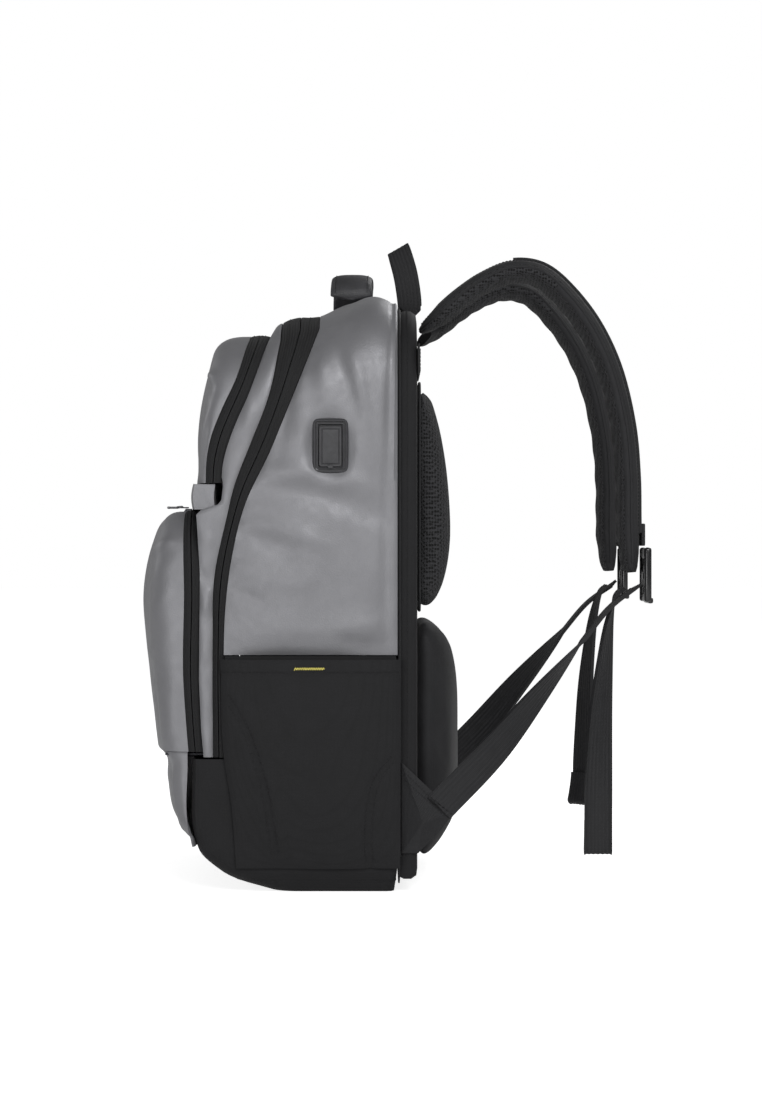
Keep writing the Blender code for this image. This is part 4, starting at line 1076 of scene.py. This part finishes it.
def rounded_outline(low_x, high_x, low_z, high_z, radius):
    """Evenly spaced points (x, z) round a rectangle with round corners."""
    points = []
    corners = ((high_x - radius, low_z + radius, -90), (high_x - radius, high_z - radius, 0),
               (low_x + radius, high_z - radius, 90), (low_x + radius, low_z + radius, 180))
    for x, z, start in corners:
        for k in range(9):
            turn = math.radians(start + 90 * k / 8)
            points.append((x + radius * math.cos(turn), z + radius * math.sin(turn)))
    return resampled(np.array(points + points[:1]))[:-1]


def pad_mesh(name, outline, back, depth, crown=2.6):
    """Closed pad on the plane y = back: domed face, sides that pull in at the seam."""
    centre = outline.mean(axis=0)
    rings = []
    for share in (0.02, 0.35, 0.7):
        flat = centre + (outline - centre) * share
        rings.append(at_depth(flat, back))
    for turn in np.linspace(0.0, math.pi / 2, 17):
        shrink = 1 - 0.98 * (1 - math.cos(turn) ** (2 / crown))
        lift = math.sin(turn) ** (2 / crown)
        flat = centre + (outline - centre) * shrink
        rings.append(at_depth(flat, back + depth(flat[:, 1]) * lift))
    return tube_mesh(name, np.array(rings))


def mesh_depth(z):
    """Thickness of a mesh pad: thin at its top, full from 0.15 m below it."""
    return 0.0060 + 0.0195 * np.sin(math.pi / 2 * np.clip((0.415 - z) / 0.150, 0, 1)) ** 0.7


def lumbar_depth(z):
    """Thickness of the lumbar cushion: thinner towards its lower edge."""
    return 0.0315 * np.minimum(1.0, 0.55 + (z - 0.018) / 0.080)


def make_back():
    """Stiff back panel with bound edge, two mesh pads, the lumbar pad and strap patches."""
    half, top, radius = HALF_WIDTH - 0.0070, 0.4700, ARCH_RADIUS - 0.0100
    outline = arch(half, 0.012, top, radius)
    base = np.column_stack([np.linspace(half, -half, 60)[1:-1], np.full(58, 0.012)])
    loop = np.concatenate([outline, base])
    centre = np.array([0.0, 0.24])
    rings = []
    for y, share in ((BACK_Y + GAP, 0.05), (BACK_Y + GAP, 1.016), (BACK_Y + 0.0008, 1.020),
                     (BACK_Y + 0.0018, 1.020), (BACK_Y + 0.0022, 1.0), (0.0790, 1.006),
                     (0.0850, 1.006), (0.0870, 1.0), (0.0892, 0.994), (0.0900, 0.97),
                     (0.0900, 0.6), (0.0900, 0.05)):
        rings.append(at_depth(centre + (loop - centre) * share, y))
    tube_piece("back_panel_fabric", rings, "black_nylon", "bag", ["back_panel"])
    path = at_depth(centre + (arch(half, 0.030, top, radius) - centre) * 1.008, 0.0820)
    outward = unit(path - np.array([0.0, 0.0820, 0.24]))
    stitch_row("back_panel_stitching", path, outward, "bag", "black_nylon")
    thread_piece("back_panel_piping", path[::2] + np.array([0.0, -0.0062, 0.0]), 0.0011,
                 "webbing", "bag")

    for side, label in ((-1, "left"), (1, "right")):
        outer, inner = side * 0.1180, side * 0.0170
        outline = rounded_outline(min(outer, inner), max(outer, inner), 0.2260, 0.4100, 0.020)
        mesh = inflated("back_mesh_pad_" + label,
                        pad_mesh("pad", outline, 0.0906, mesh_depth), 4.0, 0.004)
        pad = finish_piece("back_mesh_pad_" + label, mesh, "air_mesh", "bag",
                           ["back_pad_" + label])
        piping = at_depth(outline, 0.0922)
        centre = piping.mean(axis=0)
        piping = centre + (piping - centre) * 1.012
        thread_piece("back_pad_piping_" + label, np.concatenate([piping, piping[:2]]), 0.0012,
                     "webbing", "bag")
        lo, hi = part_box("anchor_patch_" + label)
        patch = panel_piece("strap_anchor_patch_" + label, lo, hi, 1, 0.0007, "webbing", "bag",
                            ["anchor_patch_" + label])
        box_stitches("anchor_stitching_" + label, lo, hi, patch)
    outline = rounded_outline(-0.1200, 0.1200, 0.0200, 0.2180, 0.024)
    mesh = inflated("lumbar_cushion", pad_mesh("pad", outline, 0.0906, lumbar_depth), 4.0, 0.004)
    pad = finish_piece("lumbar_cushion", mesh, "strap_fabric", "bag", ["lumbar_pad"])


def panel_piece(name, lo, hi, axis, crown, slot, body, replaces=()):
    """A soft sewn rectangle: rounded edges, slightly crowned faces, small unevenness."""
    build = bmesh.new()
    bmesh.ops.create_cube(build, size=1.0)
    bmesh.ops.scale(build, vec=hi - lo, verts=build.verts)
    bmesh.ops.translate(build, vec=(lo + hi) / 2, verts=build.verts)
    size = hi - lo
    bmesh.ops.bevel(build, geom=build.edges[:], offset=min(size) * 0.30, segments=3,
                    profile=0.5, affect="EDGES")
    for _ in range(5):
        long_edges = [e for e in build.edges if e.calc_length() > 0.012]
        if long_edges:
            bmesh.ops.subdivide_edges(build, edges=long_edges, cuts=1, use_grid_fill=True)
    build.normal_update()
    middle = (lo + hi) / 2
    for vertex in build.verts:
        off = vertex.co - middle
        flat = [abs(off[k]) / (size[k] / 2) for k in range(3) if k != axis]
        dome = max(0.0, 1 - flat[0] ** 2) * max(0.0, 1 - flat[1] ** 2)
        wave = math.sin(vertex.co.x * 130 + vertex.co.z * 90) * math.sin(vertex.co.z * 75)
        vertex.co[axis] += math.copysign(1.0, off[axis]) * crown * dome * (0.8 + 0.2 * wave)
    bmesh.ops.triangulate(build, faces=[f for f in build.faces if len(f.verts) > 4])
    mesh = bpy.data.meshes.new(name)
    build.to_mesh(mesh)
    build.free()
    points = np.array([v.co for v in mesh.vertices])
    keep = [k for k in range(3) if k != axis]
    write_uv(mesh, points[:, keep])
    return finish_piece(name, mesh, slot, body, replaces)


def box_stitches(name, lo, hi, patch):
    """A sewn box with a cross in it, on the rear face of a patch."""
    y = max(v.co.y for v in patch.data.vertices) - 0.0003
    x0, x1, z0, z1 = lo.x + 0.004, hi.x - 0.004, lo.z + 0.004, hi.z - 0.004
    route = [(x0, z0), (x1, z0), (x1, z1), (x0, z1), (x0, z0), (x1, z1), (x1, z0), (x0, z1)]
    path = []
    for (ax, az), (bx, bz) in zip(route, route[1:]):
        for t in np.linspace(0.0, 1.0, 12)[:-1]:
            path.append((ax + (bx - ax) * t, y, az + (bz - az) * t))
    path = np.array(path)
    stitch_row(name, path, np.tile([0.0, 1.0, 0.0], (len(path), 1)), "bag", "black_nylon")


# ---- shoulder straps and webbing ------------------------------------------------------------
STRAP_LINE = [(0.050, 0.0985, 0.4600), (0.055, 0.1085, 0.4680), (0.059, 0.1269, 0.4838),
              (0.064, 0.1475, 0.4972), (0.069, 0.1698, 0.5050), (0.074, 0.1928, 0.5010),
              (0.079, 0.2140, 0.4820), (0.083, 0.2339, 0.4541), (0.087, 0.2491, 0.4190),
              (0.090, 0.2590, 0.3751), (0.092, 0.2625, 0.3337), (0.094, 0.2630, 0.2925),
              (0.095, 0.2650, 0.2560)]
WEBBING_LINE = [(0.095, 0.2704, 0.2444), (0.105, 0.2457, 0.2253), (0.113, 0.2205, 0.1945),
                (0.123, 0.1873, 0.1552), (0.133, 0.1512, 0.1122), (0.1432, 0.1122, 0.0728),
                (0.1440, 0.1076, 0.0682)]


def make_strap_pad(side, label):
    """Foam strap: mesh towards the body, smooth cloth outside, bound edges, quilt lines."""
    body = "strap_" + label
    path = smooth_path(mirror_x(STRAP_LINE, side), 110)
    along, across, face = path_axes(path, (1.0, 0.0, 0.0))
    outer = -face
    at = np.linspace(0.0, 1.0, len(path))
    wide = 0.0290 - 0.008 * np.clip((at - 0.75) / 0.25, 0, 1) ** 2
    wide -= 0.010 * np.clip((0.12 - at) / 0.12, 0, 1)
    thick = 0.0085 * np.minimum(1.0, np.minimum(0.40 + 5 * at, 0.72 + 4 * (1 - at)))
    end = np.sqrt(np.clip((1 - at) / 0.035, 0.0, 1.0)) * 0.30 + 0.70
    count = 44
    turn = np.linspace(0.0, 2 * math.pi, count, endpoint=False)
    cosine, sine = np.cos(turn), np.sin(turn)
    flat = np.sign(cosine) * np.abs(cosine) ** 0.75
    rise = np.sign(sine) * np.abs(sine) ** 0.80
    ridge = 0.00055 * np.cos(flat * 0.029 * 2 * math.pi / 0.0075) * (sine > 0.30)
    rings = (path[:, None] + across[:, None] * (wide * end)[:, None, None] * flat[None, :, None]
             + outer[:, None] * ((thick * end)[:, None] * rise[None, :]
                                 + ridge[None, :])[..., None])
    crease = 0.0004 * np.sin(at * 2 * math.pi * 19 + 0.8)[:, None] * np.clip(-sine, 0, 1)
    rings = rings + outer[:, None] * crease[..., None]
    mesh = tube_mesh("strap_cushion_" + label, rings)
    mesh.materials.append(MATERIALS["strap_fabric"])
    mesh.materials.append(MATERIALS["air_mesh"])
    for polygon in mesh.polygons[:(len(path) - 1) * count]:
        row, column = divmod(polygon.index, count)
        reach = 0.20 if at[row] < 0.48 else -0.45
        polygon.material_index = 1 if sine[column] < reach and at[row] > 0.05 else 0
    pad = finish_piece("strap_cushion_" + label, mesh, "strap_fabric", body,
                       ["strap_pad_" + label], 60)
    for edge, tag in ((-1, "inner"), (1, "outer")):
        line = path + across * (wide * end)[:, None] * edge * 0.985
        line = line + outer * (thick * end * 0.14)[:, None]
        thread_piece("strap_piping_%s_%s" % (tag, label), line[3:-2], 0.0013, "webbing", body)
        seam = path + across * (wide * end)[:, None] * edge * 0.80
        seam = seam + outer * (thick * end * 0.86 + 0.0001)[:, None]
        stitch_row("strap_stitching_%s_%s" % (tag, label), seam[4:-6], outer[4:-6], body,
                   "black_nylon")
    band = path[38:103] + outer[38:103] * (thick[38:103, None] + 0.0010)
    axes = (along[38:103], across[38:103], outer[38:103])
    band_piece("strap_reinforcement_" + label, band, axes, 0.0290, 0.0014, body)


def ribbon_rings(path, across, face, widths, share, profile):
    """Rings round a flat band: its two faces, the profile's height from its middle."""
    flat = path[:, None] + across[:, None] * (widths[:, None] * share)[..., None]
    lift = face[:, None] * profile[None, :, None]
    return np.concatenate([flat + lift, (flat - lift)[:, ::-1]], axis=1)


def band_piece(name, path, axes, width, thickness, body, replaces=()):
    """Flat woven band with six lengthwise ridges and slightly thicker edges."""
    _, across, face = axes
    share = np.linspace(-0.5, 0.5, 23)
    profile = 0.12 * thickness * np.cos(share * 2 * math.pi * 6)
    profile += 0.20 * thickness * (np.abs(share) > 0.44)
    mesh = tube_mesh(name, ribbon_rings(path, across, face, np.full(len(path), width), share,
                                        thickness / 2 + profile))
    flat = np.concatenate([share, share[::-1]]) * width
    reach = np.concatenate([[0.0], np.linalg.norm(np.diff(path, axis=0), axis=1).cumsum()])
    grid = np.stack(np.broadcast_arrays(flat[None, :], reach[:, None]), axis=2).reshape(-1, 2)
    write_uv(mesh, grid)
    return finish_piece(name, mesh, "webbing", body, replaces)


def turned_axes(path, turns):
    """Band axes that start with the width along X and turn about the path."""
    along, across, face = path_axes(path, (1.0, 0.0, 0.0))
    angle = (math.pi / 2 * turns)[:, None]
    wide = across * np.cos(angle) + face * np.sin(angle)
    return along, wide, np.cross(along, wide)


def make_webbing(side, label):
    """Adjustment webbing from the buckle to the wing, and its hanging tail."""
    path = smooth_path(mirror_x(WEBBING_LINE, side), 90)
    at = np.linspace(0.0, 1.0, len(path))
    turns = side * np.clip((at - 0.30) / 0.45, 0.0, 1.0)
    axes = turned_axes(path, turns)
    web = band_piece("adjuster_webbing_" + label, path, axes, WEBBING_WIDTH,
                     WEBBING_THICKNESS, None, replaces=["webbing_" + label])
    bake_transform(web)

    drop = 0.0260 if side > 0 else 0.0520
    length = 0.2430 - drop
    route = [(0.0755, 0.2620, 0.2430), (0.0755, 0.2555, 0.2360), (0.0755, 0.2500, 0.2150)]
    route += [(0.0755, y, 0.2430 - share * length)
              for y, share in ((0.2460, 0.30), (0.2430, 0.48), (0.2415, 0.68), (0.2410, 0.84))]
    route.append((0.0755, 0.2410, drop))
    path = smooth_path(mirror_x(route, side), 90)
    at = np.linspace(0.0, 1.0, len(path))
    reach = 1.0 if side > 0 else 0.45
    turns = side * reach * np.clip((at - 0.15) / 0.70, 0.0, 1.0)
    axes = turned_axes(path, turns)
    body = "tail_" + label
    path, axes = folded_end(path, axes, 0.0034, 0.0240, 0.0023)
    band_piece("webbing_tail_" + label, path, axes, WEBBING_WIDTH * 0.92, 0.0018, body,
               replaces=["tail_" + label])
    for offset in (3, 6):
        centre, wide, face = path[-offset], axes[1][-offset], axes[2][-offset]
        across = np.array([centre + face * 0.0010 + wide * t for t in
                           np.linspace(-0.0100, 0.0100, 12)])
        stitch_row("tail_stitching_%s_%d" % (label, offset), across,
                   np.tile(face, (12, 1)), body, "black_nylon")


def folded_end(path, axes, bend, overlap, rest):
    """A hanging band turned up at its end into a loop and laid back against itself."""
    end, along, wide, face = path[-1], axes[0][-1], axes[1][-1], axes[2][-1]
    points, ways, normals = [], [], []
    for turn in np.linspace(0.0, math.pi, 13)[1:]:
        points.append(end + bend * (face * (1 - math.cos(turn)) + along * math.sin(turn)))
        ways.append(along * math.cos(turn) + face * math.sin(turn))
        normals.append(face * math.cos(turn) - along * math.sin(turn))
    for share in np.linspace(0.0, 1.0, 13)[1:]:
        gap = rest + (2 * bend - rest) * (1 - share) ** 1.5
        points.append(end + face * gap - along * overlap * share)
        ways.append(-along)
        normals.append(-face)
    count = len(points)
    return (np.concatenate([path, points]),
            (np.concatenate([axes[0], ways]), np.concatenate([axes[1], np.tile(wide, (count, 1))]),
             np.concatenate([axes[2], normals])))


def make_wing(side, label):
    """Triangular patch at the bag's lower corner, with the webbing's end sewn along it."""
    lo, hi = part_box("strap_wing_" + label)
    corners = np.array([(0.0770, 0.1050), (0.1200, 0.0640), (0.1070, 0.0480),
                        (0.0905, 0.0310), (0.0770, 0.0310)])
    centre = corners.mean(axis=0)
    loop = np.concatenate([corners + (np.roll(corners, -1, axis=0) - corners) * t
                           for t in np.linspace(0, 1, 9)[:-1]]).reshape(8, 5, 2)
    loop = loop.transpose(1, 0, 2).reshape(-1, 2)
    rings = []
    for x, share in ((lo.x, 0.05), (lo.x, 0.94), (lo.x + 0.0003, 0.985), (hi.x - 0.0003, 0.985),
                     (hi.x, 0.94), (hi.x + 0.0002 * side, 0.5), (hi.x, 0.05)):
        flat = centre + (loop - centre) * share
        rings.append(np.column_stack([np.full(len(flat), x), flat[:, 0], flat[:, 1]]))
    tube_piece("strap_wing_patch_" + label, rings, "webbing", "bag", ["strap_wing_" + label])
    out = np.array([1.0, 0.0, 0.0]) * side
    x = hi.x + 0.0001 if side > 0 else lo.x - 0.0001
    for offset in (0.0030, 0.0072):
        start = np.array([x, 0.0790, 0.1010 - offset * 1.4])
        end = np.array([x, 0.1160 - offset * 0.6, 0.0640 - offset * 0.4])
        line = np.array([start + (end - start) * t for t in np.linspace(0, 1, 20)])
        stitch_row("wing_stitching_%s_%d" % (label, int(offset * 10000)), line,
                   np.tile(out, (20, 1)), "bag", "black_nylon")


# ---- handle and hang loop ---------------------------------------------------------------------
def make_handle():
    """Padded leather grip with a stitched seam on each edge, narrowing to flat ends."""
    route = [(-0.062, 0.036, 0.4830), (-0.060, 0.036, 0.4905), (-0.046, 0.0365, 0.5000),
             (-0.020, 0.037, 0.5025), (0.020, 0.037, 0.5025), (0.046, 0.0365, 0.5000),
             (0.060, 0.036, 0.4905), (0.062, 0.036, 0.4830)]
    path = smooth_path(route, 80)
    along = unit(np.gradient(path, axis=0))
    y_axis = np.array([0.0, 1.0, 0.0])
    outward = -np.cross(y_axis, along)
    middle = 1 - np.abs(np.linspace(-1.0, 1.0, len(path)))
    wide = 0.0165 - 0.0130 * np.clip(1 - middle / 0.14, 0, 1) ** 1.5
    thick = 0.0018 + 0.0035 * np.minimum(1.0, middle * 2.5)
    turn = np.linspace(0.0, 2 * math.pi, 32, endpoint=False)
    flat = np.sign(np.cos(turn)) * np.abs(np.cos(turn)) ** 0.7 * 1.05
    rise = np.sign(np.sin(turn)) * np.abs(np.sin(turn)) ** 0.8
    crease = 1 + 0.05 * np.sin(np.linspace(0, 26 * math.pi, len(path)))[:, None] * (rise < 0)
    rings = (path[:, None] + y_axis * (wide[:, None] * flat[None, :])[..., None]
             + outward[:, None] * (thick[:, None] * rise[None, :] * crease)[..., None])
    pad = tube_piece("handle_grip_pad", rings, "handle_leather", "carry_handle",
                     ["carry_handle"])
    for edge in (-1, 1):
        line = path + y_axis * (wide * 0.80 * edge)[:, None] + outward * (thick * 0.80)[:, None]
        stitch_row("handle_stitching_%d" % (edge + 1), line[8:-8], outward[8:-8],
                   "carry_handle", "black_nylon", pitch=0.0034, length=0.0025)


def make_hang_loop():
    """Webbing loop at the top of the back, standing up and leaning forwards."""
    half = [(0.0210, 0.0855, 0.4760), (0.0200, 0.0850, 0.4900), (0.0160, 0.0820, 0.5100),
            (0.0085, 0.0775, 0.5270), (0.0, 0.0755, 0.5330)]
    path = smooth_path(half + [(-x, y, z) for x, y, z in reversed(half[:-1])], 80)
    along = unit(np.gradient(path, axis=0))
    at = np.abs(np.linspace(-1.0, 1.0, len(path)))
    hint = np.stack([0 * at, 0.86 + 0.11 * at, 0.50 - 0.25 * at], axis=1)
    across = unit(hint - along * (along * hint).sum(axis=1, keepdims=True))
    foot = np.clip(1 - (1 - at) / 0.12, 0, 1)
    face = np.cross(along, across)
    width = 0.0200 - 0.0130 * foot
    share = np.linspace(-0.5, 0.5, 17)
    profile = WEBBING_THICKNESS / 2 * (1 + 0.15 * np.cos(share * 2 * math.pi * 5))
    tube_piece("hang_loop_webbing", ribbon_rings(path, across, face, width, share, profile),
               "webbing", "hang_loop", ["hang_loop"])


# ---- hardware -----------------------------------------------------------------------------
def merged(name, meshes):
    """One mesh from several closed ones."""
    build = bmesh.new()
    for mesh in meshes:
        build.from_mesh(mesh)
        bpy.data.meshes.remove(mesh)
    mesh = bpy.data.meshes.new(name)
    build.to_mesh(mesh)
    build.free()
    return mesh


def hard_piece(name, meshes, slot, body, node, smooth_angle=30):
    """Several closed meshes as one piece."""
    finish_piece(name, merged(name, meshes), slot, body, [node], smooth_angle)


def rounded_box(lo, hi, radius, segments=3, place=None):
    """A box with round edges, as a mesh."""
    build = bmesh.new()
    bmesh.ops.create_cube(build, size=1.0)
    lo, hi = Vector(lo), Vector(hi)
    bmesh.ops.scale(build, vec=hi - lo, verts=build.verts)
    bmesh.ops.translate(build, vec=(lo + hi) / 2, verts=build.verts)
    bmesh.ops.bevel(build, geom=build.edges[:], offset=radius, segments=segments, profile=0.5,
                    affect="EDGES")
    if place is not None:
        bmesh.ops.transform(build, matrix=place, verts=build.verts)
    mesh = bpy.data.meshes.new("box")
    build.to_mesh(mesh)
    build.free()
    return mesh


def round_plate(name, centre, half_y, half_z, radius, profile):
    """Rounded rectangle facing X, built from (inset, height) steps from its foot inwards."""
    rings = []
    for inset, height in profile:
        ring = []
        corner = max(radius - inset, 0.0004)
        for cy, cz, start in ((1, 1, 0), (-1, 1, 90), (-1, -1, 180), (1, -1, 270)):
            for k in range(7):
                turn = math.radians(start + 90 * k / 6)
                ring.append((centre[0] + height,
                             centre[1] + cy * (half_y - inset - corner) + corner * math.cos(turn),
                             centre[2] + cz * (half_z - inset - corner) + corner * math.sin(turn)))
        rings.append(ring)
    return tube_mesh(name, np.array(rings))


def plate_frame(node):
    """Centre of a node's inner face, with its half sizes along Y and Z and its depth."""
    lo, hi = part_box(node)
    return ((lo.x, (lo.y + hi.y) / 2, (lo.z + hi.z) / 2), (hi.y - lo.y) / 2, (hi.z - lo.z) / 2,
            hi.x - lo.x)


def make_usb():
    """Port on the right side: double-lipped rim, hinged door with a finger notch, socket."""
    centre, half_y, half_z, depth = plate_frame("usb_rim")
    profile = [(0.0030, 0.0), (0.0, 0.0), (-0.0003, 0.0010), (-0.0002, 0.0026),
               (0.0005, depth - 0.0004), (0.0012, depth), (0.0019, depth - 0.0002),
               (0.0024, depth - 0.0014), (0.0030, depth - 0.0014), (0.0034, depth - 0.0003),
               (0.0041, depth - 0.0001), (0.0045, depth - 0.0008), (0.0046, 0.0012),
               (0.0070, 0.0012)]
    finish_piece("usb_port_rim", round_plate("usb_port_rim", centre, half_y, half_z, 0.0040,
                                             profile), "port_rubber", "bag", ["usb_rim"], 30)
    centre, half_y, half_z, depth = plate_frame("usb_cover")
    profile = [(0.0040, 0.0), (0.0002, 0.0), (0.0, 0.0003), (0.0, depth - 0.0003),
               (0.0003, depth), (0.0014, depth), (0.0018, depth - 0.0004),
               (0.0022, depth - 0.0004), (0.0027, depth + 0.0003), (0.0034, depth + 0.0005),
               (0.0060, depth + 0.0006)]
    door = round_plate("door", centre, half_y, half_z, 0.0022, profile)
    lo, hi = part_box("usb_cover")
    tab = rounded_box((lo.x + 0.0006, centre[1] - 0.0021, lo.z - 0.0016),
                      (hi.x + 0.0008, centre[1] + 0.0021, lo.z + 0.0010), 0.0005)
    hard_piece("usb_port_door", [door, tab], "port_rubber", "usb_cover", "usb_cover")
    lo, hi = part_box("usb_socket")
    y, z = (lo.y + hi.y) / 2, (lo.z + hi.z) / 2
    walls = [((lo.x, lo.y, z + 0.0030), (hi.x, hi.y, hi.z)),
             ((lo.x, lo.y, lo.z), (hi.x, hi.y, z - 0.0042)),
             ((lo.x, lo.y, z - 0.0042), (hi.x, y - 0.0056, z + 0.0030)),
             ((lo.x, y + 0.0056, z - 0.0042), (hi.x, hi.y, z + 0.0030)),
             ((lo.x, y - 0.0050, z - 0.0012), (hi.x - 0.0001, y + 0.0050, z + 0.0004))]
    hard_piece("usb_socket_shell", [rounded_box(a, b, 0.00015, 1) for a, b in walls],
               "bright_metal", "bag", "usb_socket")


def make_buckle(label):
    """Ladder-lock: two rails, four rounded bars and a thumb lip at its lower end."""
    lo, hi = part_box("buckle_" + label)
    x0, x1, y0, y1 = lo.x, hi.x, lo.y, hi.y
    rail = 0.0068
    pieces = [rounded_box((x0, y0 + 0.0006, lo.z), (x0 + rail, y1 - 0.0006, hi.z), 0.0022, 4),
              rounded_box((x1 - rail, y0 + 0.0006, lo.z), (x1, y1 - 0.0006, hi.z), 0.0022, 4)]
    bars = ((hi.z - 0.0096, hi.z - 0.0006, 0.0), (lo.z + 0.0230, lo.z + 0.0310, 0.0008),
            (lo.z + 0.0110, lo.z + 0.0190, 0.0008), (lo.z, lo.z + 0.0070, 0.0))
    for z0, z1, lift in bars:
        pieces.append(rounded_box((x0 + rail - 0.001, y0 + 0.0014 + lift, z0),
                                  (x1 - rail + 0.001, y1 - 0.0014 + lift * 0.5, z1), 0.0016, 4))
    pieces.append(rounded_box((x0 + 0.0030, y1 - 0.0032, lo.z - 0.0012),
                              (x1 - 0.0030, y1 + 0.0010, lo.z + 0.0036), 0.0016, 4))
    hard_piece("ladder_buckle_" + label, pieces, "buckle_plastic", "buckle_" + label,
               "buckle_" + label)


def tilted_place(node, slope):
    """Placement at the middle of a node, tilted about X."""
    lo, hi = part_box(node)
    return Matrix.Translation((lo + hi) / 2) @ Matrix.Rotation(slope, 4, "X")


def make_slider(name, slope):
    """Zip slider with its bridge, and a puller: metal ring, cord and moulded grip."""
    place = tilted_place(name + "_slider", slope)
    body = [rounded_box((-0.0048, -0.0038, -0.0014), (0.0048, 0.0038, 0.0000), 0.0005, 2, place),
            rounded_box((-0.0036, -0.0034, -0.0002), (0.0036, 0.0034, 0.0010), 0.0005, 2, place),
            rounded_box((-0.0012, -0.0030, 0.0008), (0.0012, 0.0030, 0.0018), 0.0004, 2, place)]
    hard_piece("zip_slider_" + name, body, "zip_metal", name + "_slider", name + "_slider")

    place = tilted_place(name + "_puller", slope)
    half = 0.0090               # half the puller's length
    turn = np.linspace(0.0, 2 * math.pi, 25)
    ring = np.column_stack([0.0026 * np.cos(turn), half - 0.0030 + 0.0028 * np.sin(turn),
                            0 * turn])
    cord = smooth_path([(0.0, half - 0.0052, 0.0), (0.0, 0.0030, 0.0006),
                        (0.0, -0.0010, 0.0002)], 12)
    pieces = [thread_mesh(name, ring, 0.00055), thread_mesh(name, cord, 0.0011)]
    for mesh in pieces:
        mesh.transform(place)
    pieces += [rounded_box((-0.0028, -half, -0.0009), (0.0028, 0.0004, 0.0009), 0.0007, 3,
                           place),
               rounded_box((-0.0030, -half - 0.0002, -0.0010),
                           (0.0030, -half + 0.0022, 0.0010), 0.0006, 3, place)]
    hard_piece("zip_puller_" + name, pieces, "zip_metal", name + "_puller", name + "_puller")


# ---- inside -------------------------------------------------------------------------------
def make_interior():
    """Divider, pouch, panel walls and lining, with soft edges and faces."""
    lo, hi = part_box("laptop_divider")
    pad = panel_piece("padded_laptop_divider", lo, hi, 1, 0.0010, "lining", "bag",
                      ["laptop_divider"])
    for side, label in ((-1, "left"), (1, "right")):
        lo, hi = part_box("lower_side_" + label)
        panel_piece("side_lining_" + label, lo, hi, 0, 0.0003, "black_nylon", "bag",
                    ["lower_side_" + label])
        lo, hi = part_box("strap_tab_" + label)
        panel_piece("strap_end_tab_" + label, lo, hi, 1, 0.0004, "webbing", "strap_" + label,
                    ["strap_tab_" + label])
    lo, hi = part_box("pocket_floor")
    panel_piece("front_pocket_floor", lo, hi, 2, 0.0002, "lining", "front_panel",
                ["pocket_floor"])
    lo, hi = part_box("power_bank_pouch")
    wall = 0.0020
    walls = [(lo, (hi.x, hi.y, lo.z + wall)), (lo, (lo.x + wall, hi.y, hi.z)),
             ((hi.x - wall, lo.y, lo.z), hi), (lo, (hi.x, lo.y + wall, hi.z)),
             ((lo.x, hi.y - wall, lo.z), hi)]
    hard_piece("power_bank_sleeve", [rounded_box(a, b, 0.0007, 2) for a, b in walls], "lining",
               "bag", "power_bank_pouch", 40)
    half, top, radius = HALF_WIDTH - 0.004, 0.4510, 0.066
    z = np.linspace(HEM_Z + 0.0035, top, 60)[:, None]
    above = np.clip(z - (top - radius), 0.0, radius)
    width = half - radius + np.sqrt(radius ** 2 - above ** 2)
    x = np.linspace(-1.0, 1.0, 61)[None, :] * width
    y = value_at(MAIN_ZIP_FRONT, z) - 0.004 + 0 * x
    grid = np.stack([x, y, z + 0 * x], axis=2)
    in_front = (0.0, -0.3, 0.25)
    shape = raised(grid, 0.0006 * ripple(grid, 0.09, 51), in_front)
    cloth_sheet("organizer_lining", shape, 0.0018, "lining", "front_panel",
                ["organizer_wall"], in_front)


make_body_shell()
make_pockets()
make_base()
make_back()
make_handle()
make_hang_loop()
make_usb()
make_interior()
for slider_name, slope in (("main_left", 10), ("main_right", 10), ("upper", 6), ("lower", 0)):
    make_slider(slider_name, math.radians(slope))
for side_sign, side_label in ((-1, "left"), (1, "right")):
    make_side_pocket(side_sign, side_label)
    make_strap_pad(side_sign, side_label)
    make_webbing(side_sign, side_label)
    make_wing(side_sign, side_label)
    make_buckle(side_label)
